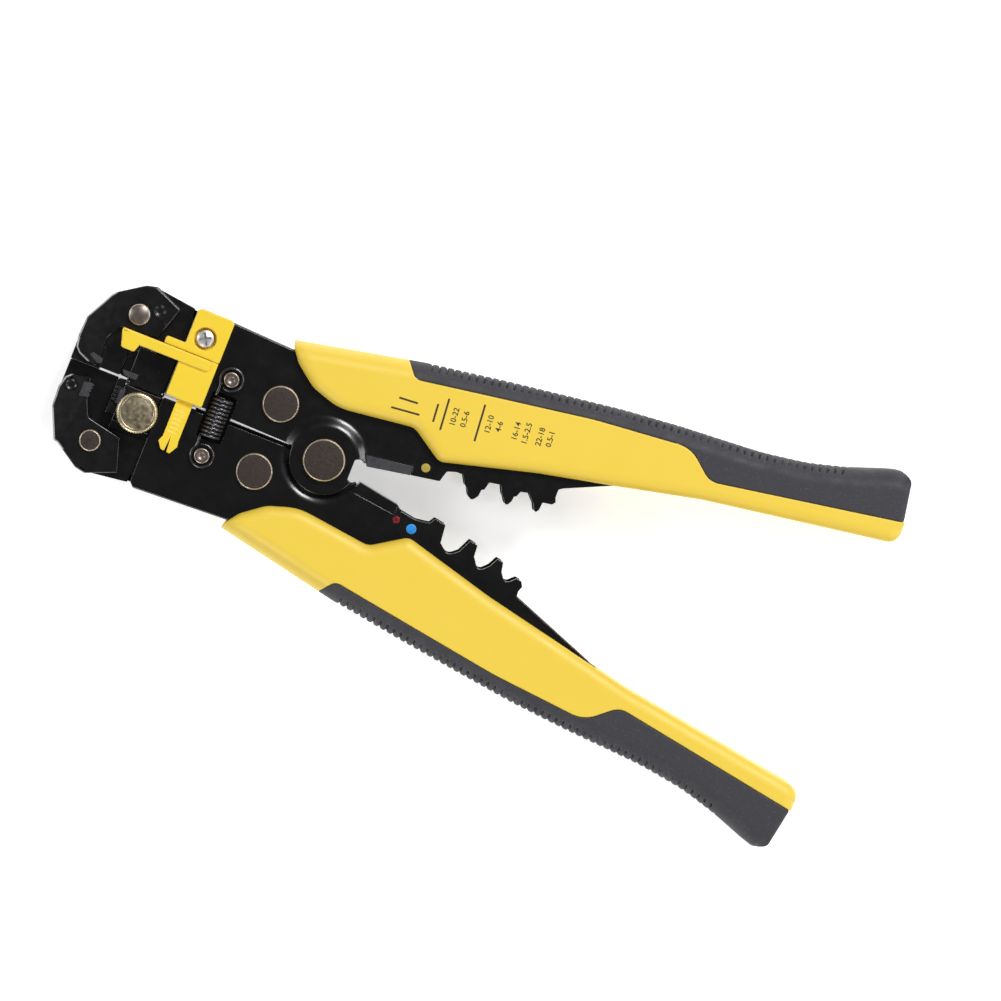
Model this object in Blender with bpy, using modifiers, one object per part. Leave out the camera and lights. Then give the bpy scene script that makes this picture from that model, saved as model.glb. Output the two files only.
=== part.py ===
"""Self-adjusting wire stripper with cutter and crimper, as an assembly of separate pieces.

The tool lies flat. Every size is in millimetres, in the tool's own axes: the main pivot is the origin,
+x runs towards the handles, +y towards the upper handle and +z towards the side with the wire stop.
The finished objects are in metres, with the origin under the middle of the tool's box.
"""
import math

import bmesh
import bpy

MM = 0.001

# ---- driving dimensions -------------------------------------------------------------------------
NOSE_X = -67.3            # foremost point of the nose jaws
GRIP_END_X = 138.8        # rear end of the grips
GRIP_HALF = 11.5          # half the thickness of the grips, which the tool lies on
GRIP_OUT_Y = 50.0         # widest point of each grip, at its rear end
SHEET = 1.8               # steel sheet of the lever plates
PLATE_IN = 6.6            # inner face of the lever side plates, from the middle
GAP = 0.3                 # gap between pieces that only touch
RUN = 0.35                # room for a grip over its steel
SQUEEZE = 19.5            # degrees the levers close by, in all
JAW_CLOSE = 1.4           # degrees each grip jaw turns
SLED_STROKE = 8.0         # travel of the grip sled

# head plates
HEAD_FRONT_X = -42.4
HEAD_TOP_Y = 23.6
HEAD_EDGE_Y = 0.4         # half the slit between the two head plates
HEAD_CHAMFER = 1.2
TANG_END_X = 128.0

# main pivot
RIVET_R = 3.2
RIVET_HEAD_R = 5.2
RIVET_HEAD_T = 1.2
DISC_R = 8.6              # free edge of the pivot discs
JOGGLE_R = 10.4           # where a disc runs out into its own plate
JOGGLE_START = 15.0       # degrees above the tool axis where the rear joggle begins
SPACER_R = 6.0
UPPER_DISC_IN = PLATE_IN + 1.2
LOWER_DISC_IN = UPPER_DISC_IN - GAP - SHEET
CHEEK_OUT = PLATE_IN + SHEET              # outer face of the lever plates and the nose cheeks
ARM_T = 1.4                               # sheet of the grip arms, which run inside the lower discs
ARM_IN = LOWER_DISC_IN - GAP - ARM_T
CORE_HALF = ARM_IN - GAP                  # half thickness of what lies between the grip arms

# link rivets, spring posts and springs
LINK = (-14.9, 8.9)
LINK_R = 2.2
LINK_HEAD_R = 4.5
POST = (-28.3, 10.0)
POST_R = 1.2
POST_HEAD_R = 1.9
SPRING_R = 2.65
SPRING_Z = CHEEK_OUT + GAP
POST_TOP = SPRING_Z + 2.5
SPRING_LOW_Y = -5.0
SPRING_HIGH_Y = 5.5
SPRING_EYE_R = 3.1
SPRING_WIRE = 0.8
WINDOW_ROOM = 0.5

# cutter blades: (x, y) corners, edge corners last
UPPER_BLADE = [(9.1, 5.0), (20.9, 6.6), (21.1, 4.3), (10.4, 2.35)]
LOWER_BLADE = [(9.1, -4.6), (20.9, -6.0), (20.9, -3.6), (10.4, -1.85)]

# jaw carrier
GUIDE_HALF_T = 1.2
GUIDE_NECK = 2.2
GUIDE_FRONT_X = -34.0
GUIDE_HEAD_X = -26.0
GUIDE_HEAD_Y = 7.8
STRIP_PIN = (-30.0, 5.2)
STRIP_PIN_R = 1.5
STRIP_FRONT_X = -52.3
STRIP_REAR_X = -42.4
STRIP_HALF = PLATE_IN - 2 * GAP
STRIP_TOP_Y = 9.5
STRIP_BOTTOM_Y = -10.2
STRIP_SEAM = (-0.15, -0.75)   # lower edge of the upper block, upper edge of the lower one
TAIL_IN_Y = 2.8
CHANNEL_HALF = 3.0        # half width of the wire channel through the blocks
CHANNEL_LOW_Y = -3.4
CHANNEL_HIGH_Y = 2.5
BLADE_PACK_T = 1.7
BLADE_EDGES = (1.3, -1.8)
BLADE_LENGTH = 7.0
BLADE_LUG_X = -50.1
BLADE_LUG_H = 1.5
KNOB = (-46.9, -6.0)
KNOB_SHAFT_R = 1.5
KNOB_HUB_R = 2.4
KNOB_R = 5.2
KNOB_LOW = CHEEK_OUT + 1.7
KNOB_TOP = KNOB_LOW + 2.2

# grip jaws
SLED_X = -12.0
SLED_HALF_X = 4.0
SLED_HALF_Y = 6.2
SLED_PIN_Y = 4.2
SLED_PIN_R = 1.3
CHEEK_IN = STRIP_HALF + GAP
NOSE_BACK_X = -59.7       # the noses are solid in front of this
NOSE_RIVET = (-55.2, 16.6)
NOSE_RIVET_R = 1.3
NOSE_RIVET_HEAD_R = 2.65

# wire stop
STOP_LOW = CHEEK_OUT + GAP
STOP_TOP = STOP_LOW + 2.5
BAR_LOW = STOP_LOW + 1.2
BAR_TOP = BAR_LOW + 2.0
STEM_TOP = BAR_LOW - 0.1
STOP_SCREW = (-38.0, 17.0)
SCREW_R = 1.2
SCREW_HEAD_R = 2.2
SCREW_SEAT_R = 2.75
SCREW_SEAT_Z = STOP_LOW + 0.6

HEAD_SEGMENTS = 24
SHAFT_SEGMENTS = 14
ARC_STEP = 40             # most degrees that one side of a rounded corner covers
MIDDLE_X = (NOSE_X + GRIP_END_X) / 2

# ---- outlines, upper half (y > 0); a third number is a corner radius ----------------------------
TANG_OUTER = [(-16.8, 22.5), (10, 25.2), (29, 26.6), (50, 29.8), (80, 33.0), (TANG_END_X, 41.5)]
TANG_INNER = [(TANG_END_X, 36.5), (90, 28.5), (80, 25.0), (68, 20.0)]
UPPER_CRIMP = [
    (57.6, 15.2, 0.5), (56.4, 14.5, 0.8), (56.4, 12.4), (56.9, 11.2, 0.4), (56.2, 10.4, 0.5),
    (53.9, 10.0, 0.3), (53.75, 8.0), (53.0, 6.9, 0.6), (51.9, 8.9), (51.2, 9.6), (49.9, 10.95, 0.5),
    (47.9, 10.5, 0.4), (47.4, 9.1), (46.8, 8.8, 0.3), (46.7, 7.5), (45.7, 5.7, 0.8), (44.5, 7.6),
    (43.8, 8.3, 0.3), (42.8, 10.3, 0.6), (39.9, 9.8, 0.4), (39.4, 7.7), (38.75, 7.4, 0.3), (38.6, 5.6),
    (37.3, 4.0, 1.1), (36.1, 5.0), (35.2, 6.7), (34.5, 7.0, 0.4), (33.2, 9.2, 0.6), (31.4, 9.2, 0.8),
    (29.2, 8.5, 0.7), (28.4, 5.6, 0.5), (21.3, 4.4), (10.2, 2.4),
]
LOWER_CRIMP = [
    (57.6, -14.3, 0.4), (56.5, -13.9, 0.6), (56.4, -12.5), (56.9, -11.2, 0.5), (56.2, -9.9, 0.5),
    (54.9, -9.7, 0.4), (52.6, -12.0, 1.4), (50.8, -9.6), (50.3, -7.2, 0.3), (48.8, -6.9, 0.4),
    (47.6, -9.3), (45.3, -11.6, 2.0), (43.1, -8.5), (42.9, -5.65, 0.4), (40.9, -5.2, 0.4),
    (39.3, -8.7), (36.9, -10.7, 2.2), (34.2, -8.4), (33.7, -3.85, 0.4), (30.9, -3.4, 0.4),
    (30.0, -4.9, 0.6), (26.5, -5.4, 3.0), (22.3, -4.7, 1.2), (20.9, -3.7), (10.2, -1.85),
]
REAR_NOTCH = [(7.1, 2.9, 0.6), (8.5, 3.5, 0.7), (10.3, 2.3), (10.3, -1.8), (8.5, -3.1, 0.7), (7.1, -2.5, 0.6)]
GRIP_INNER = [
    (-17.4, 24.8, 0.4), (-16.9, 23.0, 1.0), (-14.5, 19.8, 4.0), (-9.0, 15.6, 8.0), (-1.5, 13.2, 14.0),
    (17.8, 15.6, 4.0), (26.4, 10.0, 3.0), (50, 16.3), (70, 20.6), (90, 25.1), (110, 28.2), (130, 31.3),
    (GRIP_END_X, 32.6, 3.5), (GRIP_END_X, 38.2, 0.5),
]
BOUNDARY = [(90.0, 29.9, 5.0), (82.8, 36.0, 8.0), (58.2, 33.7), (29.3, 29.2), (13.6, 26.7, 2.5)]
BOUNDARY_FRONT = (10.5, 30.6)
GRIP_OUTER = [
    (15, 31.5), (35, 34.6), (50, 36.7), (65, 38.7), (80, 40.1), (100, 41.4), (112, 43.2), (122, 46.0),
    (130, 48.9), (133.6, GRIP_OUT_Y, 1.5), (136.4, 48.4, 1.5), (138.2, 39.4, 0.5),
]
UPPER_NOSE = [
    (-60.5, 0.6), (-63.0, 1.3), (-65.6, 2.4, 0.6), (-66.8, 3.6, 0.8), (NOSE_X, 6.5, 2.0), (-67.1, 11.5, 4.0),
    (-64.6, 16.2, 2.0), (-63.4, 18.6, 0.5), (-62.6, 19.6, 0.4), (-56.2, 23.9, 2.0), (-53.6, 24.5, 1.0),
    (-46.2, 21.4, 0.5), (-48.8, 12.9, 0.6), (-58.6, 12.0, 1.6), (-60.4, 8.4, 1.6),
]
LOWER_NOSE = [
    (-60.6, -2.1), (-65.4, -3.1, 0.4), (-66.6, -4.2, 0.6), (NOSE_X, -7.0, 2.0), (-67.1, -12.0, 4.0),
    (-64.6, -17.6, 2.0), (-63.6, -19.8, 0.5), (-62.5, -20.0, 0.4), (-56.2, -24.1, 2.0), (-53.6, -24.6, 1.0),
    (-46.0, -21.5, 0.5), (-48.6, -13.2, 0.6), (-57.6, -11.4, 1.6), (-59.4, -7.4, 1.6),
]
UPPER_TEETH = [(-63.0, 3.1), (-62.3, 3.9), (-59.6, 3.1), (-59.6, 1.9), (-60.6, 1.8)]
LOWER_TEETH = [(-61.8, -3.6), (-59.2, -3.4), (-59.4, -6.8), (-61.8, -7.4)]
ARM_TOP = [
    (-2.0, 15.0, 2.0), (-12.0, 17.0, 4.0), (-20.0, 20.2, 3.0), (-42.9, 20.9), (-43.1, 22.9, 0.4),
    (-52.5, 24.1, 1.0), (-56.0, 23.3, 1.0), (-58.4, 20.0, 1.0), (-58.2, 12.6, 0.5),
]
ARM_UNDER = [(-42.0, 11.9), (-33.0, 11.2, 3.0), (-22.0, 8.4, 4.0), (-16.4, 4.2, 2.5), (-12.0, 0.7, 3.0),
             (-7.8, 4.0, 2.5), (-1.0, 7.4, 2.0)]
STOP_HOOK = [(-57.7, 12.2, 0.5), (-57.7, 11.6, 0.5), (-56.5, 7.6, 0.8), (-53.1, 7.6, 0.5), (-52.4, 9.6)]
STOP_STEM = [
    (-39.1, 1.5), (-39.1, -8.9), (-39.6, -10.3), (-38.6, -12.4, 0.3), (-37.9, -12.4, 0.3), (-37.1, -8.4),
    (-36.2, -12.4, 0.3), (-35.6, -12.4, 0.3), (-34.7, -10.3), (-34.9, -8.9), (-34.9, 1.5),
]


# ---- helpers ------------------------------------------------------------------------------------
def clear_scene():
    """Remove every object that the file opened with."""
    for item in list(bpy.data.objects):
        bpy.data.objects.remove(item, do_unlink=True)


def collection(name):
    """A new collection in the scene."""
    group = bpy.data.collections.new(name)
    bpy.context.scene.collection.children.link(group)
    return group


def material(name, colour, roughness, metallic=0.0):
    """A plain Principled finish."""
    finish = bpy.data.materials.new(name)
    finish.use_nodes = True
    shader = finish.node_tree.nodes["Principled BSDF"]
    shader.inputs["Base Color"].default_value = (*colour, 1.0)
    shader.inputs["Roughness"].default_value = roughness
    shader.inputs["Metallic"].default_value = metallic
    return finish


def empty(name, x, y, parent=None):
    """A guide on a joint's axis at (x, y), that its moving pieces are parented to."""
    guide = bpy.data.objects.new(name, None)
    PARTS.objects.link(guide)
    if parent is None:
        guide.location = ((x - MIDDLE_X) * MM, y * MM, GRIP_HALF * MM)
    else:
        here = axis_point(parent)
        guide.parent = parent
        guide.location = ((x - here[0]) * MM, (y - here[1]) * MM, 0)
    guide["axis_x"] = x
    guide["axis_y"] = y
    return guide


def axis_point(guide):
    """The tool coordinates of a guide."""
    return guide["axis_x"], guide["axis_y"]


def flip(corners):
    """The same corners on the other side of the tool axis."""
    return [(x, -y, *rest) for x, y, *rest in corners]


def circle(x, y, radius, segments=SHAFT_SEGMENTS):
    """Points round a circle."""
    turns = [2 * math.pi * i / segments for i in range(segments)]
    return [(x + radius * math.cos(a), y + radius * math.sin(a)) for a in turns]


def arc(radius, start, end, segments):
    """Points on an arc about the main pivot, between two angles in degrees."""
    turns = [math.radians(start + (end - start) * i / segments) for i in range(segments + 1)]
    return [(radius * math.cos(a), radius * math.sin(a)) for a in turns]


def rounded(corners):
    """A closed outline; a corner with a radius becomes an arc, limited by its two sides."""
    points = []
    for i, corner in enumerate(corners):
        x, y = corner[:2]
        radius = corner[2] if len(corner) > 2 else 0.0
        if not radius:
            points.append((x, y))
            continue
        before = corners[i - 1]
        after = corners[(i + 1) % len(corners)]
        to_before = math.atan2(before[1] - y, before[0] - x)
        to_after = math.atan2(after[1] - y, after[0] - x)
        opening = (to_after - to_before + math.pi) % (2 * math.pi) - math.pi
        half = abs(opening) / 2
        room = 0.49 * min(math.dist((x, y), before[:2]), math.dist((x, y), after[:2]))
        reach = min(radius / math.tan(half), room)
        radius = reach * math.tan(half)
        bisector = to_before + opening / 2
        centre_x = x + radius / math.sin(half) * math.cos(bisector)
        centre_y = y + radius / math.sin(half) * math.sin(bisector)
        start = math.atan2(y + reach * math.sin(to_before) - centre_y, x + reach * math.cos(to_before) - centre_x)
        sweep = math.copysign(math.pi - 2 * half, -opening)
        steps = max(1, math.ceil(abs(sweep) / math.radians(ARC_STEP)))
        for k in range(steps + 1):
            a = start + sweep * k / steps
            points.append((centre_x + radius * math.cos(a), centre_y + radius * math.sin(a)))
    return points


def grown(corners, room):
    """A convex outline moved outwards by room on every side."""
    area = sum(a[0] * b[1] - b[0] * a[1] for a, b in zip(corners, corners[1:] + corners[:1]))
    side = math.copysign(room, area)
    lines = []
    for a, b in zip(corners, corners[1:] + corners[:1]):
        length = math.dist(a, b)
        nx, ny = (b[1] - a[1]) / length, (a[0] - b[0]) / length
        lines.append((nx, ny, nx * a[0] + ny * a[1] + side))
    points = []
    for (a1, b1, c1), (a2, b2, c2) in zip(lines[-1:] + lines[:-1], lines):
        det = a1 * b2 - a2 * b1
        points.append(((c1 * b2 - c2 * b1) / det, (a1 * c2 - a2 * c1) / det))
    return points


def place(name, mesh, guide, finish=None):
    """Make an object of a mesh in tool millimetres, with its origin on the guide's axis."""
    x, y = axis_point(guide)
    for vertex in mesh.vertices:
        vertex.co = ((vertex.co.x - x) * MM, (vertex.co.y - y) * MM, vertex.co.z * MM)
    item = bpy.data.objects.new(name, mesh)
    item.parent = guide
    if finish is None:
        CUTTERS.objects.link(item)
        item.hide_render = True
        item.display_type = "WIRE"
    else:
        PARTS.objects.link(item)
        mesh.materials.append(finish)
        mesh.shade_smooth()
        mesh.set_sharp_from_angle(angle=math.radians(35))
    return item


def plate(name, outline, low, high, guide, finish=None, holes=()):
    """A flat outline with holes, filled and given its thickness between two heights."""
    curve = bpy.data.curves.new(name, "CURVE")
    curve.dimensions = "2D"
    curve.fill_mode = "BOTH"
    curve.extrude = (high - low) / 2
    for ring in (outline, *holes):
        spline = curve.splines.new("POLY")
        spline.points.add(len(ring) - 1)
        for point, (x, y) in zip(spline.points, ring):
            point.co = (x, y, 0, 1)
        spline.use_cyclic_u = True
    flat = bpy.data.objects.new(name, curve)
    bpy.context.scene.collection.objects.link(flat)
    bpy.context.view_layer.update()
    mesh = bpy.data.meshes.new_from_object(flat.evaluated_get(bpy.context.evaluated_depsgraph_get()))
    bpy.data.objects.remove(flat, do_unlink=True)
    bpy.data.curves.remove(curve)
    shape = bmesh.new()
    shape.from_mesh(mesh)
    bmesh.ops.remove_doubles(shape, verts=shape.verts, dist=0.001)
    bmesh.ops.translate(shape, verts=shape.verts, vec=(0, 0, (low + high) / 2))
    bmesh.ops.recalc_face_normals(shape, faces=shape.faces)
    shape.to_mesh(mesh)
    shape.free()
    return place(name, mesh, guide, finish)


def cylinder(name, x, y, low, high, radius, guide, finish=None, segments=SHAFT_SEGMENTS):
    """A round bar along z."""
    mesh = bpy.data.meshes.new(name)
    shape = bmesh.new()
    bmesh.ops.create_cone(shape, cap_ends=True, segments=segments, radius1=radius, radius2=radius,
                          depth=high - low)
    bmesh.ops.translate(shape, verts=shape.verts, vec=(x, y, (low + high) / 2))
    shape.to_mesh(mesh)
    shape.free()
    return place(name, mesh, guide, finish)


def block(name, x_range, y_range, z_range, guide, finish=None):
    """A box between three pairs of limits."""
    mesh = bpy.data.meshes.new(name)
    shape = bmesh.new()
    bmesh.ops.create_cube(shape, size=1.0)
    for vertex in shape.verts:
        vertex.co = [low + (high - low) * (co + 0.5)
                     for co, (low, high) in zip(vertex.co, (x_range, y_range, z_range))]
    shape.to_mesh(mesh)
    shape.free()
    return place(name, mesh, guide, finish)


def turned(name, x, y, profile, guide, finish, segments=HEAD_SEGMENTS):
    """A turned piece about a z axis at (x, y); the profile is (radius, z), outer side top to bottom."""
    mesh = bpy.data.meshes.new(name)
    points = [(radius, 0, z) for radius, z in profile]
    edges = [(i, i + 1) for i in range(len(points) - 1)]
    if profile[0][0] > 0:
        edges.append((len(points) - 1, 0))
    mesh.from_pydata([(px * MM, 0, pz * MM) for px, _, pz in points], edges, [])
    item = bpy.data.objects.new(name, mesh)
    PARTS.objects.link(item)
    item.parent = guide
    gx, gy = axis_point(guide)
    item.location = ((x - gx) * MM, (y - gy) * MM, 0)
    mesh.materials.append(finish)
    screw = item.modifiers.new("turned", "SCREW")
    screw.steps = segments
    screw.render_steps = segments
    screw.use_merge_vertices = True
    screw.merge_threshold = 0.00001
    return item


def rivet(name, x, y, shaft_r, head_r, seat, top, guide, finish, chamfer=0.35):
    """A rivet with the same chamfered head on both sides."""
    half = [(0, top), (head_r - chamfer, top), (head_r, top - chamfer), (head_r, seat), (shaft_r, seat)]
    profile = half + [(r, -z) for r, z in reversed(half)]
    return turned(name, x, y, profile, guide, finish)


def cut(item, cutter):
    """Take a cutter's volume out of a piece."""
    boolean = item.modifiers.new("cut", "BOOLEAN")
    boolean.operation = "DIFFERENCE"
    boolean.object = cutter


def join(item, other):
    """Weld another volume onto a piece."""
    boolean = item.modifiers.new("join", "BOOLEAN")
    boolean.operation = "UNION"
    boolean.object = other


def span(sign, inner, outer):
    """The lower and upper height of a layer on one side of the middle."""
    return (inner, outer) if sign > 0 else (-outer, -inner)


# ---- levers -------------------------------------------------------------------------------------
def window_corners(side):
    """The spring's window in a head plate, met while running along the slit from front to rear."""
    half = SPRING_R + WINDOW_ROOM
    reach = max(SPRING_HIGH_Y, -SPRING_LOW_Y) + WINDOW_ROOM
    left, right = POST[0] - half, POST[0] + half
    corners = [(left, HEAD_EDGE_Y), (left, reach, 0.8), (right, reach, 0.8), (right, HEAD_EDGE_Y)]
    return [(x, side * y, *r) for x, y, *r in corners]


def lever_frame(name, side, crimp, disc_in, guide, holes):
    """One lever: two side plates, their pivot discs and the web that joins them along the back."""
    cut_r = DISC_R + 0.7
    slit = math.degrees(math.asin(HEAD_EDGE_Y / cut_r))
    clear_arc = [(x, side * y) for x, y in arc(cut_r, JOGGLE_START, 180 - slit, 10)]
    outer = [(HEAD_FRONT_X + HEAD_CHAMFER, HEAD_TOP_Y), *TANG_OUTER]
    outer_side = [(x, side * y) for x, y in outer]
    outline = [(HEAD_FRONT_X, side * HEAD_EDGE_Y), (HEAD_FRONT_X, side * (HEAD_TOP_Y - HEAD_CHAMFER))]
    outline += outer_side + [(x, side * y) for x, y in TANG_INNER] + crimp
    outline = rounded(outline) + clear_arc + rounded(window_corners(side))[::-1]
    rim = arc(JOGGLE_R, JOGGLE_START, 180 - math.degrees(math.asin(HEAD_EDGE_Y / JOGGLE_R)), 11)
    rest = arc(DISC_R, 180, 360 + JOGGLE_START - 3, 14)
    disc = [(x, side * y) for x, y in rim + rest]
    outer[-1] = (TANG_END_X - 0.05, outer[-1][1])
    web = [(x, y - 0.05) for x, y in outer] + [(x, y - SHEET) for x, y in outer[::-1]]
    body = plate(name, [(x, side * y) for x, y in web], -PLATE_IN - 0.4, PLATE_IN + 0.4, guide, STEEL_BLACK)
    bore = circle(0, 0, RIVET_R + GAP, HEAD_SEGMENTS)
    for label, sign in (("near", 1), ("far", -1)):
        low, high = span(sign, PLATE_IN, PLATE_IN + SHEET)
        join(body, plate(f"{name}_{label}", outline, low, high, guide, holes=holes))
        low, high = span(sign, disc_in, disc_in + SHEET)
        join(body, plate(f"{name}_{label}_disc", disc, low, high, guide, holes=[bore]))
    return body


def levers():
    """Both lever frames, with the holes and notches for what is set into them."""
    for name, side, crimp, disc_in, blade, guide in (
            ("upper_lever_frame", 1, UPPER_CRIMP, UPPER_DISC_IN, UPPER_BLADE, MAIN),
            ("lower_lever_frame", -1, LOWER_CRIMP, LOWER_DISC_IN, LOWER_BLADE, SQUEEZE_AXIS)):
        holes = [circle(LINK[0], side * LINK[1], LINK_R + GAP), circle(POST[0], side * POST[1], POST_R + GAP)]
        frame = lever_frame(name, side, crimp, disc_in, guide, holes)
        cut(frame, plate(f"{name}_blade_seat", grown(blade, GAP), -CHEEK_OUT - 1, CHEEK_OUT + 1, guide))
        cut(frame, plate(f"{name}_rear_notch", rounded(REAR_NOTCH), -POST_TOP, POST_TOP, guide))
        if side > 0:
            cut(frame, cylinder("stop_screw_hole", *STOP_SCREW, PLATE_IN - 1, CHEEK_OUT + 1, SCREW_R + GAP, guide))
        title = "upper" if side > 0 else "lower"
        reach = CHEEK_OUT - 0.2
        plate(f"{title}_cutter_blade", blade, -reach, reach, guide, BLADE_STEEL)
        rivet(f"{title}_link_rivet", LINK[0], side * LINK[1], LINK_R, LINK_HEAD_R, CHEEK_OUT + GAP,
              CHEEK_OUT + GAP + 1.0, guide, RIVET_STEEL)
        for label, sign in (("near", 1), ("far", -1)):
            spring_post(f"{title}_spring_post_{label}", side * POST[1], sign, guide)


def spring_post(name, y, sign, guide):
    """A grooved stud that a return spring hooks over."""
    profile = [(0, POST_TOP), (POST_HEAD_R - 0.3, POST_TOP), (POST_HEAD_R, POST_TOP - 0.3),
               (POST_HEAD_R, POST_TOP - 0.8), (POST_R, POST_TOP - 0.8), (POST_R, PLATE_IN), (0, PLATE_IN)]
    if sign < 0:
        profile = [(r, -z) for r, z in reversed(profile)]
    turned(name, POST[0], y, profile, guide, RIVET_STEEL, SHAFT_SEGMENTS)


def pivot():
    """The main rivet and the two spacers that keep the jaw carrier in the middle."""
    seat = UPPER_DISC_IN + SHEET + GAP
    rivet("main_pivot_rivet", 0, 0, RIVET_R, RIVET_HEAD_R, seat, seat + RIVET_HEAD_T, MAIN, RIVET_STEEL)
    inner, outer = RIVET_R + GAP, SPACER_R
    low, high = GUIDE_HALF_T + GAP, LOWER_DISC_IN - GAP
    for label, (bottom, top) in (("near", span(1, low, high)), ("far", span(-1, low, high))):
        turned(f"pivot_spacer_{label}", 0, 0, [(inner, top), (outer, top), (outer, bottom), (inner, bottom)],
               CARRIER_AXIS, BRIGHT_STEEL)


def return_spring(name, sign):
    """The closed outer shape of an extension spring with an eye round each post."""
    z = sign * SPRING_Z
    body = block(name, (POST[0] - SPRING_WIRE / 2, POST[0] + SPRING_WIRE / 2),
                 (-POST[1] + SPRING_EYE_R - 0.5, POST[1] - SPRING_EYE_R + 0.5),
                 sorted((z + sign * 0.1, z + sign * (0.1 + SPRING_WIRE))), MAIN, SPRING_STEEL)
    coil = cylinder(f"{name}_coil", 0, 0, SPRING_LOW_Y, SPRING_HIGH_Y, SPRING_R, MAIN)
    for vertex in coil.data.vertices:
        x, y, along = vertex.co
        vertex.co = (x + POST[0] * MM, along, y + z * MM)
    coil.data.flip_normals()
    join(body, coil)
    for label, side in (("upper", 1), ("lower", -1)):
        ring = circle(POST[0], side * POST[1], SPRING_EYE_R)
        bore = circle(POST[0], side * POST[1], SPRING_EYE_R - SPRING_WIRE)
        low, high = sorted((z + sign * 0.05, z + sign * (0.15 + SPRING_WIRE)))
        join(body, plate(f"{name}_{label}_eye", ring, low, high, MAIN, holes=[bore]))


# ---- grips --------------------------------------------------------------------------------------
def grips():
    """The yellow bodies and their grey inlays, both hollowed to fit over the lever tangs."""
    pocket_top = [(-24.0, TANG_OUTER[0][1] + 0.3 + RUN)] + [(x, y + RUN) for x, y in TANG_OUTER]
    pocket_top[-1] = (TANG_END_X + RUN, TANG_OUTER[-1][1] + RUN)
    pocket_under = [(TANG_END_X + RUN, TANG_INNER[0][1] - RUN)] + [(x, y - RUN) for x, y in TANG_INNER[1:]]
    pocket = pocket_top + pocket_under + [(57.0, 14.0), (57.0, 2.0), (-24.0, 2.0)]
    grip = GRIP_INNER + BOUNDARY + [BOUNDARY_FRONT]
    inlay = [(x, y + GAP + 0.05, *r) for x, y, *r in BOUNDARY[::-1]] + [(GRIP_END_X - 0.4, 38.2 + GAP + 0.4, 0.4)]
    inlay += GRIP_OUTER[-2::-1] + [(BOUNDARY_FRONT[0] + GAP, BOUNDARY_FRONT[1] + 0.1)]
    for title, side, guide in (("upper", 1, MAIN), ("lower", -1, SQUEEZE_AXIS)):
        for piece, outline, finish in (("grip_body", grip, GRIP_YELLOW), ("grip_inlay", inlay, GRIP_GREY)):
            ring = [(x, side * y) for x, y in rounded(outline)]
            body = plate(f"{title}_{piece}", ring, -GRIP_HALF, GRIP_HALF, guide, finish)
            hollow = [(x, side * y) for x, y in pocket]
            cut(body, plate(f"{title}_{piece}_pocket", hollow, -CHEEK_OUT - RUN, CHEEK_OUT + RUN, guide))


# ---- jaw carrier --------------------------------------------------------------------------------
def carrier():
    """The centre guide, the strip blocks on it and their cross pins."""
    half_neck = math.degrees(math.asin(GUIDE_NECK / SPACER_R))
    boss = arc(SPACER_R, -180 + half_neck, 180 - half_neck, 16)
    head = [(GUIDE_HEAD_X, GUIDE_NECK, 1.0), (GUIDE_HEAD_X, GUIDE_HEAD_Y, 1.0), (GUIDE_FRONT_X, GUIDE_HEAD_Y, 1.0),
            (GUIDE_FRONT_X, -GUIDE_HEAD_Y, 1.0), (GUIDE_HEAD_X, -GUIDE_HEAD_Y, 1.0),
            (GUIDE_HEAD_X, -GUIDE_NECK, 1.0)]
    pin_holes = [circle(STRIP_PIN[0], side * STRIP_PIN[1], STRIP_PIN_R + GAP) for side in (1, -1)]
    plate("centre_guide", rounded(boss + head), -GUIDE_HALF_T, GUIDE_HALF_T, CARRIER_AXIS, BRIGHT_STEEL,
          holes=[circle(0, 0, RIVET_R + GAP, HEAD_SEGMENTS), *pin_holes])
    for title, side, far_y, seam in (("upper", 1, STRIP_TOP_Y, STRIP_SEAM[0]),
                                     ("lower", -1, STRIP_BOTTOM_Y, STRIP_SEAM[1])):
        strip_block(title, side, far_y, seam)
        cylinder(f"{title}_strip_pin", STRIP_PIN[0], side * STRIP_PIN[1], -CORE_HALF, CORE_HALF, STRIP_PIN_R,
                 CARRIER_AXIS, BRIGHT_STEEL)


def strip_block(title, side, far_y, seam):
    """One blade holder: a block with half of the wire channel, and a forked tail on the centre guide."""
    outline = [(STRIP_FRONT_X, seam, 0.4), (STRIP_FRONT_X, far_y, 1.0), (STRIP_REAR_X, far_y, 0.6),
               (STRIP_REAR_X, seam, 0.3)]
    body = plate(f"{title}_strip_block", rounded(outline), -STRIP_HALF, STRIP_HALF, CARRIER_AXIS, JAW_BLACK)
    channel = block(f"{title}_wire_channel", (STRIP_FRONT_X - 1, STRIP_REAR_X + 1),
                    (CHANNEL_LOW_Y, CHANNEL_HIGH_Y), (-CHANNEL_HALF, CHANNEL_HALF), CARRIER_AXIS)
    cut(body, channel)
    tail = [(STRIP_REAR_X - 1.2, side * TAIL_IN_Y), (STRIP_REAR_X - 1.2, side * GUIDE_HEAD_Y),
            (GUIDE_HEAD_X - 0.4, side * GUIDE_HEAD_Y, 1.5), (GUIDE_HEAD_X - 0.4, side * TAIL_IN_Y, 1.5)]
    bore = circle(STRIP_PIN[0], side * STRIP_PIN[1], STRIP_PIN_R + GAP)
    for label, sign in (("near", 1), ("far", -1)):
        low, high = span(sign, GUIDE_HALF_T + GAP, CORE_HALF)
        join(body, plate(f"{title}_tail_{label}", rounded(tail), low, high, CARRIER_AXIS, holes=[bore]))
    if side < 0:
        cut(body, cylinder("knob_hole", *KNOB, STRIP_HALF - 4, STRIP_HALF + 1, KNOB_SHAFT_R + GAP, CARRIER_AXIS))


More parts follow.
